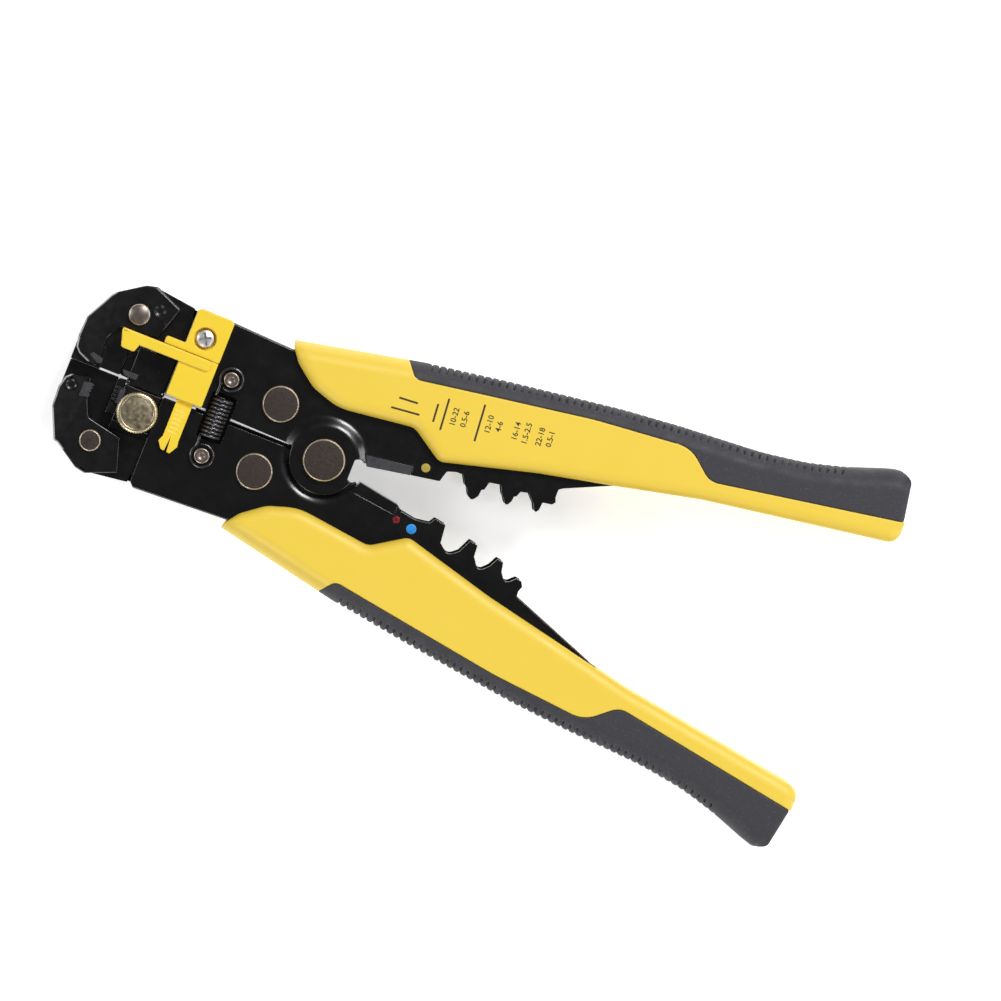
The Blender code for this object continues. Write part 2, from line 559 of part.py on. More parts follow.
def blade_packs():
    """The blade packs at the front of the strip blocks, with lugs that run along the blocks' sides."""
    rear = STRIP_FRONT_X - GAP
    for title, side, edge, guide in (("upper", 1, BLADE_EDGES[0], UPPER_BLADES),
                                     ("lower", -1, BLADE_EDGES[1], LOWER_BLADES)):
        lug_in = STRIP_HALF + GAP
        lug_out = lug_in + 0.6
        y_range = sorted((edge, edge + side * BLADE_LENGTH))
        body = block(f"{title}_blade_pack", (rear - BLADE_PACK_T, rear), y_range, (-lug_out, lug_out), guide,
                     BLADE_STEEL)
        for label, sign in (("near", 1), ("far", -1)):
            lug_y = sorted((edge + side * 0.05, edge + side * BLADE_LUG_H))
            join(body, block(f"{title}_blade_lug_{label}", (rear - 0.5, BLADE_LUG_X), lug_y,
                             span(sign, lug_in, lug_out - 0.02), guide))


def tension_knob():
    """The knurled screw that sets the pressure of the lower blades."""
    profile = [(0, KNOB_TOP), (KNOB_R - 0.4, KNOB_TOP), (KNOB_R, KNOB_TOP - 0.4), (KNOB_R, KNOB_LOW),
               (KNOB_HUB_R, KNOB_LOW), (KNOB_HUB_R, STRIP_HALF + GAP), (KNOB_SHAFT_R, STRIP_HALF + GAP),
               (KNOB_SHAFT_R, STRIP_HALF - 3.6), (0, STRIP_HALF - 3.6)]
    turned("tension_knob", *KNOB, profile, KNOB_AXIS, BRASS)


# ---- grip jaws ----------------------------------------------------------------------------------
def turn_about(point, centre, degrees):
    """A point turned about a centre."""
    a = math.radians(degrees)
    x, y = point[0] - centre[0], point[1] - centre[1]
    return (centre[0] + x * math.cos(a) - y * math.sin(a), centre[1] + x * math.sin(a) + y * math.cos(a))


def cam_path(steps=6):
    """Where the upper link rivet goes in its grip arm, from open to squeezed."""
    path = []
    for i in range(steps + 1):
        share = i / steps
        x, y = turn_about(LINK, (0, 0), -SQUEEZE / 2 * share)
        path.append(turn_about((x + SLED_STROKE * share, y), (SLED_X, SLED_PIN_Y), -JAW_CLOSE * share))
    return path


def slot(path, half):
    """An outline round a path, with round ends."""
    def side_of(i, sign):
        a, b = path[max(i - 1, 0)], path[min(i + 1, len(path) - 1)]
        heading = math.atan2(b[1] - a[1], b[0] - a[0]) + sign * math.pi / 2
        return heading, (path[i][0] + half * math.cos(heading), path[i][1] + half * math.sin(heading))

    points = []
    for sign, order in ((1, range(len(path))), (-1, range(len(path) - 1, -1, -1))):
        points += [side_of(i, sign)[1] for i in order]
        end = path[-1] if sign > 0 else path[0]
        start = side_of(len(path) - 1 if sign > 0 else 0, sign)[0]
        for k in range(1, 6):
            a = start - math.pi * k / 6
            points.append((end[0] + half * math.cos(a), end[1] + half * math.sin(a)))
    return points


def sled():
    """The block that slides on the centre guide, and the two pins that the grip arms turn on."""
    body = block("grip_sled", (SLED_X - SLED_HALF_X, SLED_X + SLED_HALF_X), (-SLED_HALF_Y, SLED_HALF_Y),
                 (-CORE_HALF, CORE_HALF), SLED_AXIS, BRIGHT_STEEL)
    tunnel_y = GUIDE_NECK + GAP
    tunnel_z = GUIDE_HALF_T + GAP
    cut(body, block("guide_tunnel", (SLED_X - SLED_HALF_X - 1, SLED_X + SLED_HALF_X + 1), (-tunnel_y, tunnel_y),
                    (-tunnel_z, tunnel_z), SLED_AXIS))
    for title, side in (("upper", 1), ("lower", -1)):
        reach = ARM_IN + ARM_T + 0.2
        cut(body, cylinder(f"{title}_sled_bore", SLED_X, side * SLED_PIN_Y, -CORE_HALF - 1, CORE_HALF + 1,
                           SLED_PIN_R + GAP, SLED_AXIS))
        cylinder(f"{title}_sled_pin", SLED_X, side * SLED_PIN_Y, -reach, reach, SLED_PIN_R, SLED_AXIS,
                 BRIGHT_STEEL)


def grip_jaw(title, side, nose, teeth, guide):
    """One grip jaw: arm, nose, the rivet that joins them and the toothed insert."""
    mirror = (lambda points: points) if side > 0 else flip
    top = mirror(ARM_TOP)
    slot_end = cam_path()[-1]
    tail = (slot_end[0] + LINK_R + GAP + 2.0, slot_end[1])
    outline = rounded(top + mirror(ARM_UNDER) + mirror([(*tail, 1.5)]))
    pin_bore = circle(SLED_X, side * SLED_PIN_Y, SLED_PIN_R + GAP)
    cam = mirror(slot(cam_path(), LINK_R + GAP))
    nose_bore = circle(NOSE_RIVET[0], side * NOSE_RIVET[1], NOSE_RIVET_R + GAP)
    web_line = [corner[:2] for corner in ARM_TOP[2:7]]
    web = [(x, y - 0.05) for x, y in web_line] + [(x, y - ARM_T) for x, y in web_line[::-1]]
    arm = plate(f"{title}_grip_arm", mirror(web), -ARM_IN - 0.4, ARM_IN + 0.4, guide, STEEL_BLACK)
    for label, sign in (("near", 1), ("far", -1)):
        low, high = span(sign, ARM_IN, ARM_IN + ARM_T)
        join(arm, plate(f"{title}_arm_{label}", outline, low, high, guide, holes=[pin_bore, cam, nose_bore]))
    jaw = plate(f"{title}_nose_jaw", rounded(nose), -CHEEK_OUT, CHEEK_OUT, guide, JAW_BLACK)
    cut(jaw, block(f"{title}_nose_hollow", (NOSE_BACK_X, -40.0), sorted((0.0, side * 30.0)),
                   (-CHEEK_IN, CHEEK_IN), guide))
    cut(jaw, cylinder(f"{title}_nose_bore", NOSE_RIVET[0], side * NOSE_RIVET[1], -CHEEK_OUT - 1, CHEEK_OUT + 1,
                      NOSE_RIVET_R + GAP, guide))
    cut(jaw, plate(f"{title}_teeth_seat", grown(teeth, GAP), -CHEEK_OUT - 1, CHEEK_OUT + 1, guide))
    rivet(f"{title}_nose_rivet", NOSE_RIVET[0], side * NOSE_RIVET[1], NOSE_RIVET_R, NOSE_RIVET_HEAD_R,
          CHEEK_OUT + GAP, CHEEK_OUT + GAP + 0.8, guide, RIVET_STEEL, chamfer=0.25)
    plate(f"{title}_grip_teeth", teeth, -CHEEK_OUT + 0.2, CHEEK_OUT - 0.2, guide, BLADE_STEEL)


# ---- wire stop ----------------------------------------------------------------------------------
def wire_stop():
    """The bracket screwed to the upper plate, its screw, and the stop that slides under it."""
    bracket = [(-32.6, 12.5, 0.4), (-32.6, 23.6, 1.2), (-42.2, 23.6, 1.2), (-42.2, 14.4, 0.4), (-47.1, 14.4, 0.6),
               (-47.1, 12.5, 0.4)]
    body = plate("stop_bracket", rounded(bracket), STOP_LOW, STOP_TOP, MAIN, STOP_YELLOW,
                 holes=[circle(*STOP_SCREW, SCREW_R + GAP)])
    cut(body, cylinder("screw_recess", *STOP_SCREW, SCREW_SEAT_Z, STOP_TOP + 1, SCREW_SEAT_R, MAIN))
    seat = SCREW_SEAT_Z + GAP
    profile = [(0, seat + 1.3), (SCREW_HEAD_R - 0.5, seat + 1.2), (SCREW_HEAD_R, seat + 0.7), (SCREW_HEAD_R, seat),
               (SCREW_R, seat), (SCREW_R, PLATE_IN - 0.4), (0, PLATE_IN - 0.4)]
    turned("stop_screw", *STOP_SCREW, profile, MAIN, BRIGHT_STEEL, SHAFT_SEGMENTS)
    bar = rounded([(-34.3, 12.5 - GAP, 0.4)] + STOP_HOOK + [(-34.3, 9.6)])
    slider = plate("wire_stop", bar, BAR_LOW, BAR_TOP, STOP_AXIS, STOP_YELLOW)
    lower = [(-42.1, 0.9, 0.5), (-42.1, 9.9), (-32.8, 9.9), (-32.8, 0.9, 0.5)]
    join(slider, plate("wire_stop_block", rounded(lower), STOP_LOW, STOP_TOP, STOP_AXIS))
    join(slider, plate("wire_stop_stem", rounded(STOP_STEM), STOP_LOW + 0.02, STEM_TOP, STOP_AXIS))


clear_scene()
PARTS = collection("wire_stripper")
CUTTERS = collection("cutters")

STEEL_BLACK = material("black_lacquered_steel", (0.012, 0.012, 0.014), 0.3)
JAW_BLACK = material("black_cast_jaw", (0.015, 0.015, 0.017), 0.38)
RIVET_STEEL = material("browned_rivet_steel", (0.065, 0.052, 0.047), 0.42, 0.8)
BRIGHT_STEEL = material("bright_steel", (0.6, 0.6, 0.6), 0.25, 1.0)
BLADE_STEEL = material("ground_blade_steel", (0.22, 0.22, 0.24), 0.35, 1.0)
SPRING_STEEL = material("spring_steel", (0.05, 0.05, 0.055), 0.3, 0.9)
GRIP_YELLOW = material("grip_yellow", (0.95, 0.70, 0.075), 0.45)
GRIP_GREY = material("grip_grey_rubber", (0.07, 0.07, 0.08), 0.75)
STOP_YELLOW = material("stop_yellow", (0.88, 0.66, 0.07), 0.4)
BRASS = material("aged_brass", (0.40, 0.32, 0.16), 0.4, 0.9)

MAIN = empty("main_pivot", 0, 0)
SQUEEZE_AXIS = empty("squeeze_axis", 0, 0, MAIN)
CARRIER_AXIS = empty("carrier_axis", 0, 0, MAIN)
SLED_AXIS = empty("sled_axis", SLED_X, 0, CARRIER_AXIS)
UPPER_JAW = empty("upper_jaw_axis", SLED_X, SLED_PIN_Y, SLED_AXIS)
LOWER_JAW = empty("lower_jaw_axis", SLED_X, -SLED_PIN_Y, SLED_AXIS)
UPPER_BLADES = empty("upper_blade_axis", STRIP_FRONT_X, BLADE_EDGES[0], CARRIER_AXIS)
LOWER_BLADES = empty("lower_blade_axis", STRIP_FRONT_X, BLADE_EDGES[1], CARRIER_AXIS)
KNOB_AXIS = empty("knob_axis", *KNOB, CARRIER_AXIS)
STOP_AXIS = empty("stop_axis", STOP_SCREW[0], 9.6, MAIN)

levers()
grips()
pivot()
return_spring("return_spring_near", 1)
return_spring("return_spring_far", -1)
carrier()
blade_packs()
tension_knob()
sled()
grip_jaw("upper", 1, UPPER_NOSE, UPPER_TEETH, UPPER_JAW)
grip_jaw("lower", -1, LOWER_NOSE, LOWER_TEETH, LOWER_JAW)
wire_stop()
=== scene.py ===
"""Looks of a self-adjusting wire stripper: finer surfaces, finishes, light and camera round its frame.

Sizes are in millimetres in the tool's own axes: the main pivot is the origin, +x runs to the handles,
+y to the upper handle and +z to the side with the wire stop. Pieces are made in metres in the frame.
"""
from __future__ import annotations

import logging
import math
from collections.abc import Callable, Sequence
from dataclasses import dataclass, field, replace
from enum import Enum
from typing import TypeVar

import bmesh
import bpy
import numpy as np
from mathutils import Matrix, Vector
from mathutils.geometry import delaunay_2d_cdt


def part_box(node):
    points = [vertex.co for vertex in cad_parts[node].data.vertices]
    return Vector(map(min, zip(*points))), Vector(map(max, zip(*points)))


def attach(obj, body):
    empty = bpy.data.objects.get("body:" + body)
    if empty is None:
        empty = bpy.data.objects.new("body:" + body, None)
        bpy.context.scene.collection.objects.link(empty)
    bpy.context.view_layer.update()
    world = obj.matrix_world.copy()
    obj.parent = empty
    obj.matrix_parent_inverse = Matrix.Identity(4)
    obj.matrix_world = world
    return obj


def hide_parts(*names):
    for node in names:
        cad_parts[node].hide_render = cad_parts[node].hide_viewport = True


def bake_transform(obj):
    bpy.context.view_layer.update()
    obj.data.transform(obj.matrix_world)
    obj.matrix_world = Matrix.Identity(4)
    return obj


Corner = Sequence[float]
Points = np.ndarray
Height = Callable[[Points], np.ndarray]
Value = TypeVar("Value")

MM = 0.001
LAND = 0.05          # flat strip between a rounded edge and its face, which keeps the face's shading flat
LOG = logging.getLogger("wire_stripper")

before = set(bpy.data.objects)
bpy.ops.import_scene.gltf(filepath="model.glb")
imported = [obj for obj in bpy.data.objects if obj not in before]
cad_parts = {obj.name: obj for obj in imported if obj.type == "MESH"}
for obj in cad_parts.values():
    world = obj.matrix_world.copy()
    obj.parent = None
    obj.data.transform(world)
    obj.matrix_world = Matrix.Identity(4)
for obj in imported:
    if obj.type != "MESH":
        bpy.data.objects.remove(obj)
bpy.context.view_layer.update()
PIVOT = np.array(sum(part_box("main_pivot_rivet"), Vector())) / 2

# ---- layers, as distances from the middle of the tool ---------------------------------------------
GRIP_HALF = 11.5
PLATE_IN = 6.6
PLATE_OUT = 8.4
UPPER_DISC_LIFT = 1.2
LOWER_DISC_LIFT = -0.9
POCKET_HALF = 8.75
GUIDE_HALF = 1.2
CHEEK_IN = 6.3
STRIP_HALF = 6.0
STOP_LOW = 8.7
STOP_TOP = 11.2

# ---- outlines of the upper half; a third number is a corner radius ---------------------------------
HEAD = [(-42.4, 0.4, 0.3), (-42.4, 22.4, 0.8), (-41.2, 23.6, 0.8)]
TANG_OUTER = [(-16.8, 22.5), (10, 25.2), (29, 26.6), (50, 29.8), (80, 33.0), (128.0, 41.5)]
TANG_INNER = [(128.0, 36.5), (90, 28.5), (80, 25.0), (68, 20.0)]
LOWER_TANG_INNER = [(128.0, 36.5), (92, 28.8), (79.4, 22.5)]
UPPER_CRIMP = [
    (57.6, 15.2, 0.5), (56.4, 14.5, 0.8), (56.4, 12.4), (56.9, 11.2, 0.4), (56.2, 10.4, 0.5),
    (53.9, 10.0, 0.3), (53.75, 8.0), (53.0, 6.9, 0.6), (51.9, 8.9), (51.2, 9.6), (49.9, 10.95, 0.5),
    (47.9, 10.5, 0.4), (47.4, 9.1), (46.8, 8.8, 0.3), (46.7, 7.5), (45.7, 5.7, 0.8), (44.5, 7.6),
    (43.8, 8.3, 0.3), (42.8, 10.3, 0.6), (39.9, 9.8, 0.4), (39.4, 7.7), (38.75, 7.4, 0.3), (38.6, 5.6),
    (37.3, 4.0, 1.1), (36.1, 5.0), (35.2, 6.7), (34.5, 7.0, 0.4), (33.2, 9.2, 0.6), (31.4, 9.2, 0.8),
    (29.2, 8.5, 0.7), (28.4, 5.6, 0.5), (21.2, 4.36), (20.98, 6.7), (8.97, 5.07), (9.95, 3.1),
    (9.55, 2.85),
]
LOWER_CRIMP = [
    (57.6, -14.3, 0.4), (56.5, -13.9, 0.6), (56.4, -12.5), (56.9, -11.2, 0.5), (56.2, -9.9, 0.5),
    (54.9, -9.7, 0.4), (52.6, -12.0, 1.4), (50.8, -9.6), (50.3, -7.2, 0.3), (48.8, -6.9, 0.4),
    (47.6, -9.3), (45.3, -11.6, 2.0), (43.1, -8.5), (42.9, -5.65, 0.4), (40.9, -5.2, 0.4), (39.3, -8.7),
    (36.9, -10.7, 2.2), (34.2, -8.4), (33.7, -3.85, 0.4), (30.9, -3.4, 0.4), (30.0, -4.9, 0.6),
    (26.5, -5.4, 3.0), (22.3, -4.7, 1.2), (20.98, -3.66), (20.98, -6.1), (8.97, -4.67), (9.85, -2.75),
    (9.45, -2.45),
]
UPPER_NOTCH = [(8.5, 3.5, 0.7), (7.1, 2.9, 0.6), (7.1, -2.5, 0.6)]
LOWER_NOTCH = [(8.5, -3.1, 0.7), (7.1, -2.5, 0.6), (7.1, 2.9, 0.6)]
UPPER_NOTCH_END = (8.09, -2.92)
LOWER_NOTCH_END = (7.96, 3.27)
WINDOW = [(-31.45, 0.4), (-31.45, 6.0, 0.8), (-25.15, 6.0, 0.8), (-25.15, 0.4)]
UPPER_BLADE = [(9.1, 5.0), (20.9, 6.6), (21.1, 4.3), (10.4, 2.35)]
LOWER_BLADE = [(9.1, -4.6), (20.9, -6.0), (20.9, -3.6), (10.4, -1.85)]
GRIP_TIP = (-17.4, 24.8)
LINK = (-14.9, 8.9)
POST = (-28.3, 10.0)
NOSE_RIVET = (-55.2, 16.6)
STOP_SCREW = (-38.0, 17.0)
UPPER_DIMPLE = (-50.8, 19.3)
LOWER_DIMPLE = (-64.5, -5.5)
SEED_GAP = 0.12      # least distance from a seed to an outline, so that no sliver lies between them
GRIP_INNER = [
    GRIP_TIP, (-16.9, 23.0, 1.0), (-14.5, 19.8, 4.0), (-9.0, 15.6, 8.0), (-1.5, 13.2, 14.0),
    (17.8, 15.6, 4.0), (26.4, 10.0, 3.0), (50, 16.3, 40), (70, 20.6, 40), (90, 25.1, 40), (110, 28.2, 40),
    (130, 31.3, 40), (138.8, 32.6, 3.5), (138.8, 38.2),
]
BOUNDARY_FRONT = (10.5, 30.6)
BOUNDARY = [
    BOUNDARY_FRONT, (13.6, 26.7, 2.5), (29.3, 29.2), (58.2, 33.7, 60), (82.8, 36.0, 8.0),
    (90.0, 29.9, 5.0), (138.8, 38.2),
]
GRIP_OUTER = [
    GRIP_TIP, BOUNDARY_FRONT, (15, 31.5), (35, 34.6, 60), (50, 36.7, 60), (65, 38.7, 60), (80, 40.1, 60),
    (100, 41.4, 60), (112, 43.2, 40), (122, 46.0, 40), (130, 48.9, 20), (133.6, 50.0, 2.5),
]
GRIP_REAR = [(136.5, 48.4, 2.5), (138.2, 39.4)]
POCKET = [
    (-24.0, 23.15), (-16.8, 22.85), (10, 25.55), (29, 26.95), (50, 30.15), (80, 33.35), (128.35, 41.85),
    (128.35, 36.15), (90, 28.15), (80, 24.65), (68, 19.65), (57.0, 14.0), (57.0, 2.0), (-24.0, 2.0),
]
LOWER_POCKET = [
    *POCKET[:7], (128.35, 36.15), (92, 28.45), (79.2, 22.1), (57.0, 13.6), (57.0, 2.0), (-24.0, 2.0),
]
UPPER_NOSE = [
    (-60.5, 0.6, 0.4), (-63.0, 1.3), (-65.6, 2.4, 0.6), (-66.8, 3.6, 0.8), (-67.3, 6.5, 2.0),
    (-67.1, 11.5, 4.0), (-64.6, 16.2, 2.0), (-63.4, 18.6, 0.5), (-62.6, 19.6, 0.4), (-56.2, 23.9, 2.0),
    (-53.6, 24.5, 1.0), (-46.2, 21.4, 0.5), (-48.8, 12.9, 0.6), (-58.6, 12.0, 1.6), (-60.4, 8.4, 1.6),
]
LOWER_NOSE = [
    (-60.6, -2.1, 0.4), (-65.4, -3.1, 0.4), (-66.6, -4.2, 0.6), (-67.3, -7.0, 2.0), (-67.1, -12.0, 4.0),
    (-64.6, -17.6, 2.0), (-63.6, -19.8, 0.5), (-62.5, -20.0, 0.4), (-56.2, -24.1, 2.0),
    (-53.6, -24.6, 1.0), (-46.0, -21.5, 0.5), (-48.6, -13.2, 0.6), (-57.6, -11.4, 1.6),
    (-59.4, -7.4, 1.6),
]
UPPER_CREASE = [(-60.3, 0.0), (-60.6, 8.0), (-61.5, 14.0), (-62.3, 19.6)]
LOWER_CREASE = [(-60.3, 0.0), (-60.5, -8.5), (-61.2, -14.0), (-62.3, -19.9)]
UPPER_TEETH = [(-63.0, 3.1), (-62.3, 3.9), (-59.6, 3.1), (-59.6, 1.9), (-60.6, 1.8)]
LOWER_TEETH = [
    (-61.8, -3.6), (-59.5, -3.4), (-59.2, -3.9), (-59.7, -4.1), (-59.2, -4.6), (-59.7, -4.9),
    (-59.3, -5.4), (-59.8, -5.7), (-59.4, -6.3), (-59.5, -6.8), (-61.8, -7.4),
]
STOP_BRACKET = [
    (-32.6, 12.5, 0.4), (-32.6, 23.6, 1.2), (-42.2, 23.6, 1.2), (-42.2, 14.4, 0.4), (-47.1, 14.4, 0.6),
    (-47.1, 12.5, 0.4),
]
STOP_BAR = [
    (-34.3, 12.4, 0.9), (-57.7, 12.4, 0.5), (-57.7, 11.6, 0.5), (-56.5, 7.6, 0.8), (-53.1, 7.6, 0.5),
    (-52.4, 9.6, 0.3), (-34.3, 9.6, 0.8),
]
STOP_BLOCK = [(-42.1, 0.9, 0.5), (-42.1, 12.4), (-32.7, 12.4), (-32.7, 0.9, 0.5)]
STOP_STEM = [
    (-39.0, 1.5), (-39.0, -8.9), (-39.6, -10.3, 0.3), (-38.4, -12.1, 0.3), (-37.45, -12.3, 0.3),
    (-37.1, -8.4), (-36.75, -12.4, 0.3), (-35.9, -12.4, 0.3), (-34.7, -10.3, 0.3), (-34.9, -8.9),
    (-34.9, 1.5),
]


class Side(Enum):
    """The half of the tool that a piece belongs to."""

    UPPER = 1
    LOWER = -1

    @property
    def title(self) -> str:
        """The half's name as the nodes have it."""
        return self.name.lower()

    def mirror(self, corners: Sequence[Corner]) -> list[Corner]:
        """The corners as they are, or on the other side of the tool axis for the lower half."""
        return [(x, self.value * y, *rest) for x, y, *rest in corners]

    def pick(self, upper: Value, lower: Value) -> Value:
        """The first value for the upper half and the second for the lower one."""
        return upper if self is Side.UPPER else lower


class Face(Enum):
    """The flat side of the tool that a piece is on."""

    NEAR = 1
    FAR = -1

    @property
    def title(self) -> str:
        """The side's name as the nodes have it."""
        return self.name.lower()


# ---- outlines -----------------------------------------------------------------------------------
def fillet(before: Points, corner: Points, after: Points, radius: float, step: float) -> Points:
    """Points of the arc that rounds a corner.

    The arc touches both sides at radius / tan(half opening) from the corner, and its centre lies on the
    bisector at radius / sin(half opening). It takes at most 0.49 of the shorter side.

    Args:
        before: The corner before this one.
        corner: The corner itself.
        after: The corner after it.
        radius: Radius of the arc.
        step: Most degrees between two points.

    Returns:
        The arc's points, or the corner alone where it is sharp or straight.
    """
    back, ahead = before - corner, after - corner
    to_before, to_after = math.atan2(back[1], back[0]), math.atan2(ahead[1], ahead[0])
    opening = (to_after - to_before + math.pi) % math.tau - math.pi
    half = abs(opening) / 2
    if radius <= 0 or math.pi - 2 * half < 0.01:
        return corner[None]
    reach = min(radius / math.tan(half), 0.49 * min(np.hypot(*back), np.hypot(*ahead)))
    radius = reach * math.tan(half)
    bisector = to_before + opening / 2
    centre = corner + radius / math.sin(half) * np.array((math.cos(bisector), math.sin(bisector)))
    touch = corner + reach * np.array((math.cos(to_before), math.sin(to_before))) - centre
    sweep = math.copysign(math.pi - 2 * half, -opening)
    count = max(3, math.ceil(abs(sweep) / math.radians(step)))
    turns = math.atan2(touch[1], touch[0]) + np.linspace(0, sweep, count)
    return centre + radius * np.column_stack((np.cos(turns), np.sin(turns)))


def rounded(corners: Sequence[Corner], closed: bool = True, step: float = 10.0) -> Points:
    """An outline or an open line with each corner that has a radius turned into an arc.

    Args:
        corners: (x, y) or (x, y, radius) of each corner.
        closed: Whether the last corner joins the first.
        step: Most degrees between two points of an arc.

    Returns:
        The line's points.
    """
    rows = np.array([(*corner, 0.0)[:3] for corner in corners], float)
    arcs = [fillet(a[:2], b[:2], c[:2], b[2], step)
            for a, b, c in zip(np.roll(rows, 1, 0), rows, np.roll(rows, -1, 0))]
    if not closed:
        arcs[0], arcs[-1] = rows[:1, :2], rows[-1:, :2]
    points = np.concatenate(arcs)
    gaps = np.hypot(*(points - np.roll(points, 1, 0)).T)
    return points[gaps > 0.004]


def arc(radius: float, start: float, end: float, count: int, centre: Corner = (0, 0)) -> Points:
    """Points on an arc between two angles in degrees."""
    turns = np.radians(np.linspace(start, end, count))
    return np.array(centre) + radius * np.column_stack((np.cos(turns), np.sin(turns)))


def circle(centre: Corner, radius: float, count: int = 48) -> Points:
    """Points round a whole circle."""
    return arc(radius, 0, 360 - 360 / count, count, centre)


def swung(points: Points, turn: float, centre: Corner) -> Points:
    """Points turned by an angle in radians about the origin, which then goes to centre."""
    c, s = math.cos(turn), math.sin(turn)
    return points @ np.array(((c, s), (-s, c))) + np.array(centre)


def off_axis(points: Points, centre: Corner) -> np.ndarray:
    """Distance of each point from the z axis through centre."""
    return np.hypot(points[:, 0] - centre[0], points[:, 1] - centre[1])


def refined(loop: Points, step: float) -> Points:
    """A closed outline with points added along its long sides, no further apart than step."""
    sides = np.roll(loop, -1, 0) - loop
    count = np.maximum(1, np.ceil(np.hypot(*sides.T) / step)).astype(int)
    index = np.repeat(np.arange(len(loop)), count)
    share = (np.arange(count.sum()) - np.repeat(np.cumsum(count) - count, count)) / count[index]
    return loop[index] + sides[index] * share[:, None]


def resampled(line: Points, step: float) -> Points:
    """An open line with points a step apart along it."""
    run = travelled(line)
    marks = np.linspace(0, run[-1], max(2, math.ceil(run[-1] / step)))
    return np.column_stack([np.interp(marks, run, line[:, i]) for i in range(2)])


def travelled(line: Points) -> np.ndarray:
    """Distance along an open line to each of its points."""
    return np.concatenate(([0.0], np.cumsum(np.hypot(*np.diff(line, axis=0).T))))


def oriented(loop: Points, sign: int) -> Points:
    """The outline run anticlockwise for sign 1 and clockwise for sign -1."""
    following = np.roll(loop, -1, 0)
    area = np.sum(loop[:, 0] * following[:, 1] - following[:, 0] * loop[:, 1])
    return loop if area * sign > 0 else loop[::-1]


def mitres(loop: Points) -> Points:
    """At each point, the step that moves both its sides one unit to the right of travel.

    It is the sum of the two sides' unit normals, divided by one plus their dot product.
    """
    ahead = np.roll(loop, -1, 0) - loop
    ahead /= np.maximum(np.hypot(*ahead.T), 1e-9)[:, None]
    behind = np.roll(ahead, 1, 0)
    normals = [np.column_stack((v[:, 1], -v[:, 0])) for v in (ahead, behind)]
    return sum(normals) / np.maximum(1 + np.sum(normals[0] * normals[1], 1), 0.5)[:, None]


def distance(points: Points, line: Points) -> np.ndarray:
    """Distance from each point to an open line, by the nearest place on its nearest side."""
    start, side = line[:-1], np.diff(line, axis=0)
    share = np.einsum("psk,sk->ps", points[:, None] - start, side) / np.maximum(np.sum(side**2, 1), 1e-12)
    nearest = start + np.clip(share, 0, 1)[..., None] * side
    return np.sqrt(np.min(np.sum((points[:, None] - nearest) ** 2, 2), 1))


def inside(points: Points, loops: Sequence[Points]) -> np.ndarray:
    """Whether a ray along +x from each point crosses the loops' sides an odd number of times."""
    crossings = np.zeros(len(points), int)
    for loop in loops:
        (x1, y1), (x2, y2) = loop.T, np.roll(loop, -1, 0).T
        px, py = points[:, :1], points[:, 1:]
        spans = (y1 > py) != (y2 > py)
        reach = x1 + (py - y1) * (x2 - x1) / np.where(y2 == y1, 1e-12, y2 - y1)
        crossings += np.sum(spans & (px < reach), 1)
    return crossings % 2 == 1


# ---- surfaces -----------------------------------------------------------------------------------
@dataclass
class Surface:
    """A closed surface in tool millimetres, as points and faces."""

    points: Points
    quads: np.ndarray
    triangles: np.ndarray = field(default_factory=lambda: np.zeros((0, 3), int))

    def mirrored(self, axis: int) -> Surface:
        """The surface on the other side of the plane through the origin across an axis."""
        points = self.points.copy()
        points[:, axis] *= -1
        return Surface(points, self.quads[:, ::-1], self.triangles[:, ::-1])

    def on(self, face: Face) -> Surface:
        """The surface as made for the near side, or its image on the far side."""
        return self if face is Face.NEAR else self.mirrored(2)


def joined(parts: Sequence[Surface]) -> Surface:
    """Several surfaces as one."""
    starts = np.cumsum([0] + [len(part.points) for part in parts[:-1]])
    return Surface(np.concatenate([part.points for part in parts]),
                   np.concatenate([part.quads + start for part, start in zip(parts, starts)]),
                   np.concatenate([part.triangles + start for part, start in zip(parts, starts)]))


def grid_faces(rows: int, columns: int, wrap_rows: bool = False, wrap_columns: bool = False) -> np.ndarray:
    """Quads between neighbouring points of a grid that is stored row by row.

    Args:
        rows: Number of rows.
        columns: Number of points in a row.
        wrap_rows: Whether the last row joins the first.
        wrap_columns: Whether the last point of a row joins the first.

    Returns:
        An array of four indices a face.
    """
    row = np.arange(rows if wrap_rows else rows - 1)[:, None]
    column = np.arange(columns if wrap_columns else columns - 1)[None]
    next_row, next_column = (row + 1) % rows, (column + 1) % columns
    faces = (row * columns + column, row * columns + next_column,
             next_row * columns + next_column, next_row * columns + column)
    return np.stack([np.broadcast_to(f, (row.size, column.size)) for f in faces], -1).reshape(-1, 4)


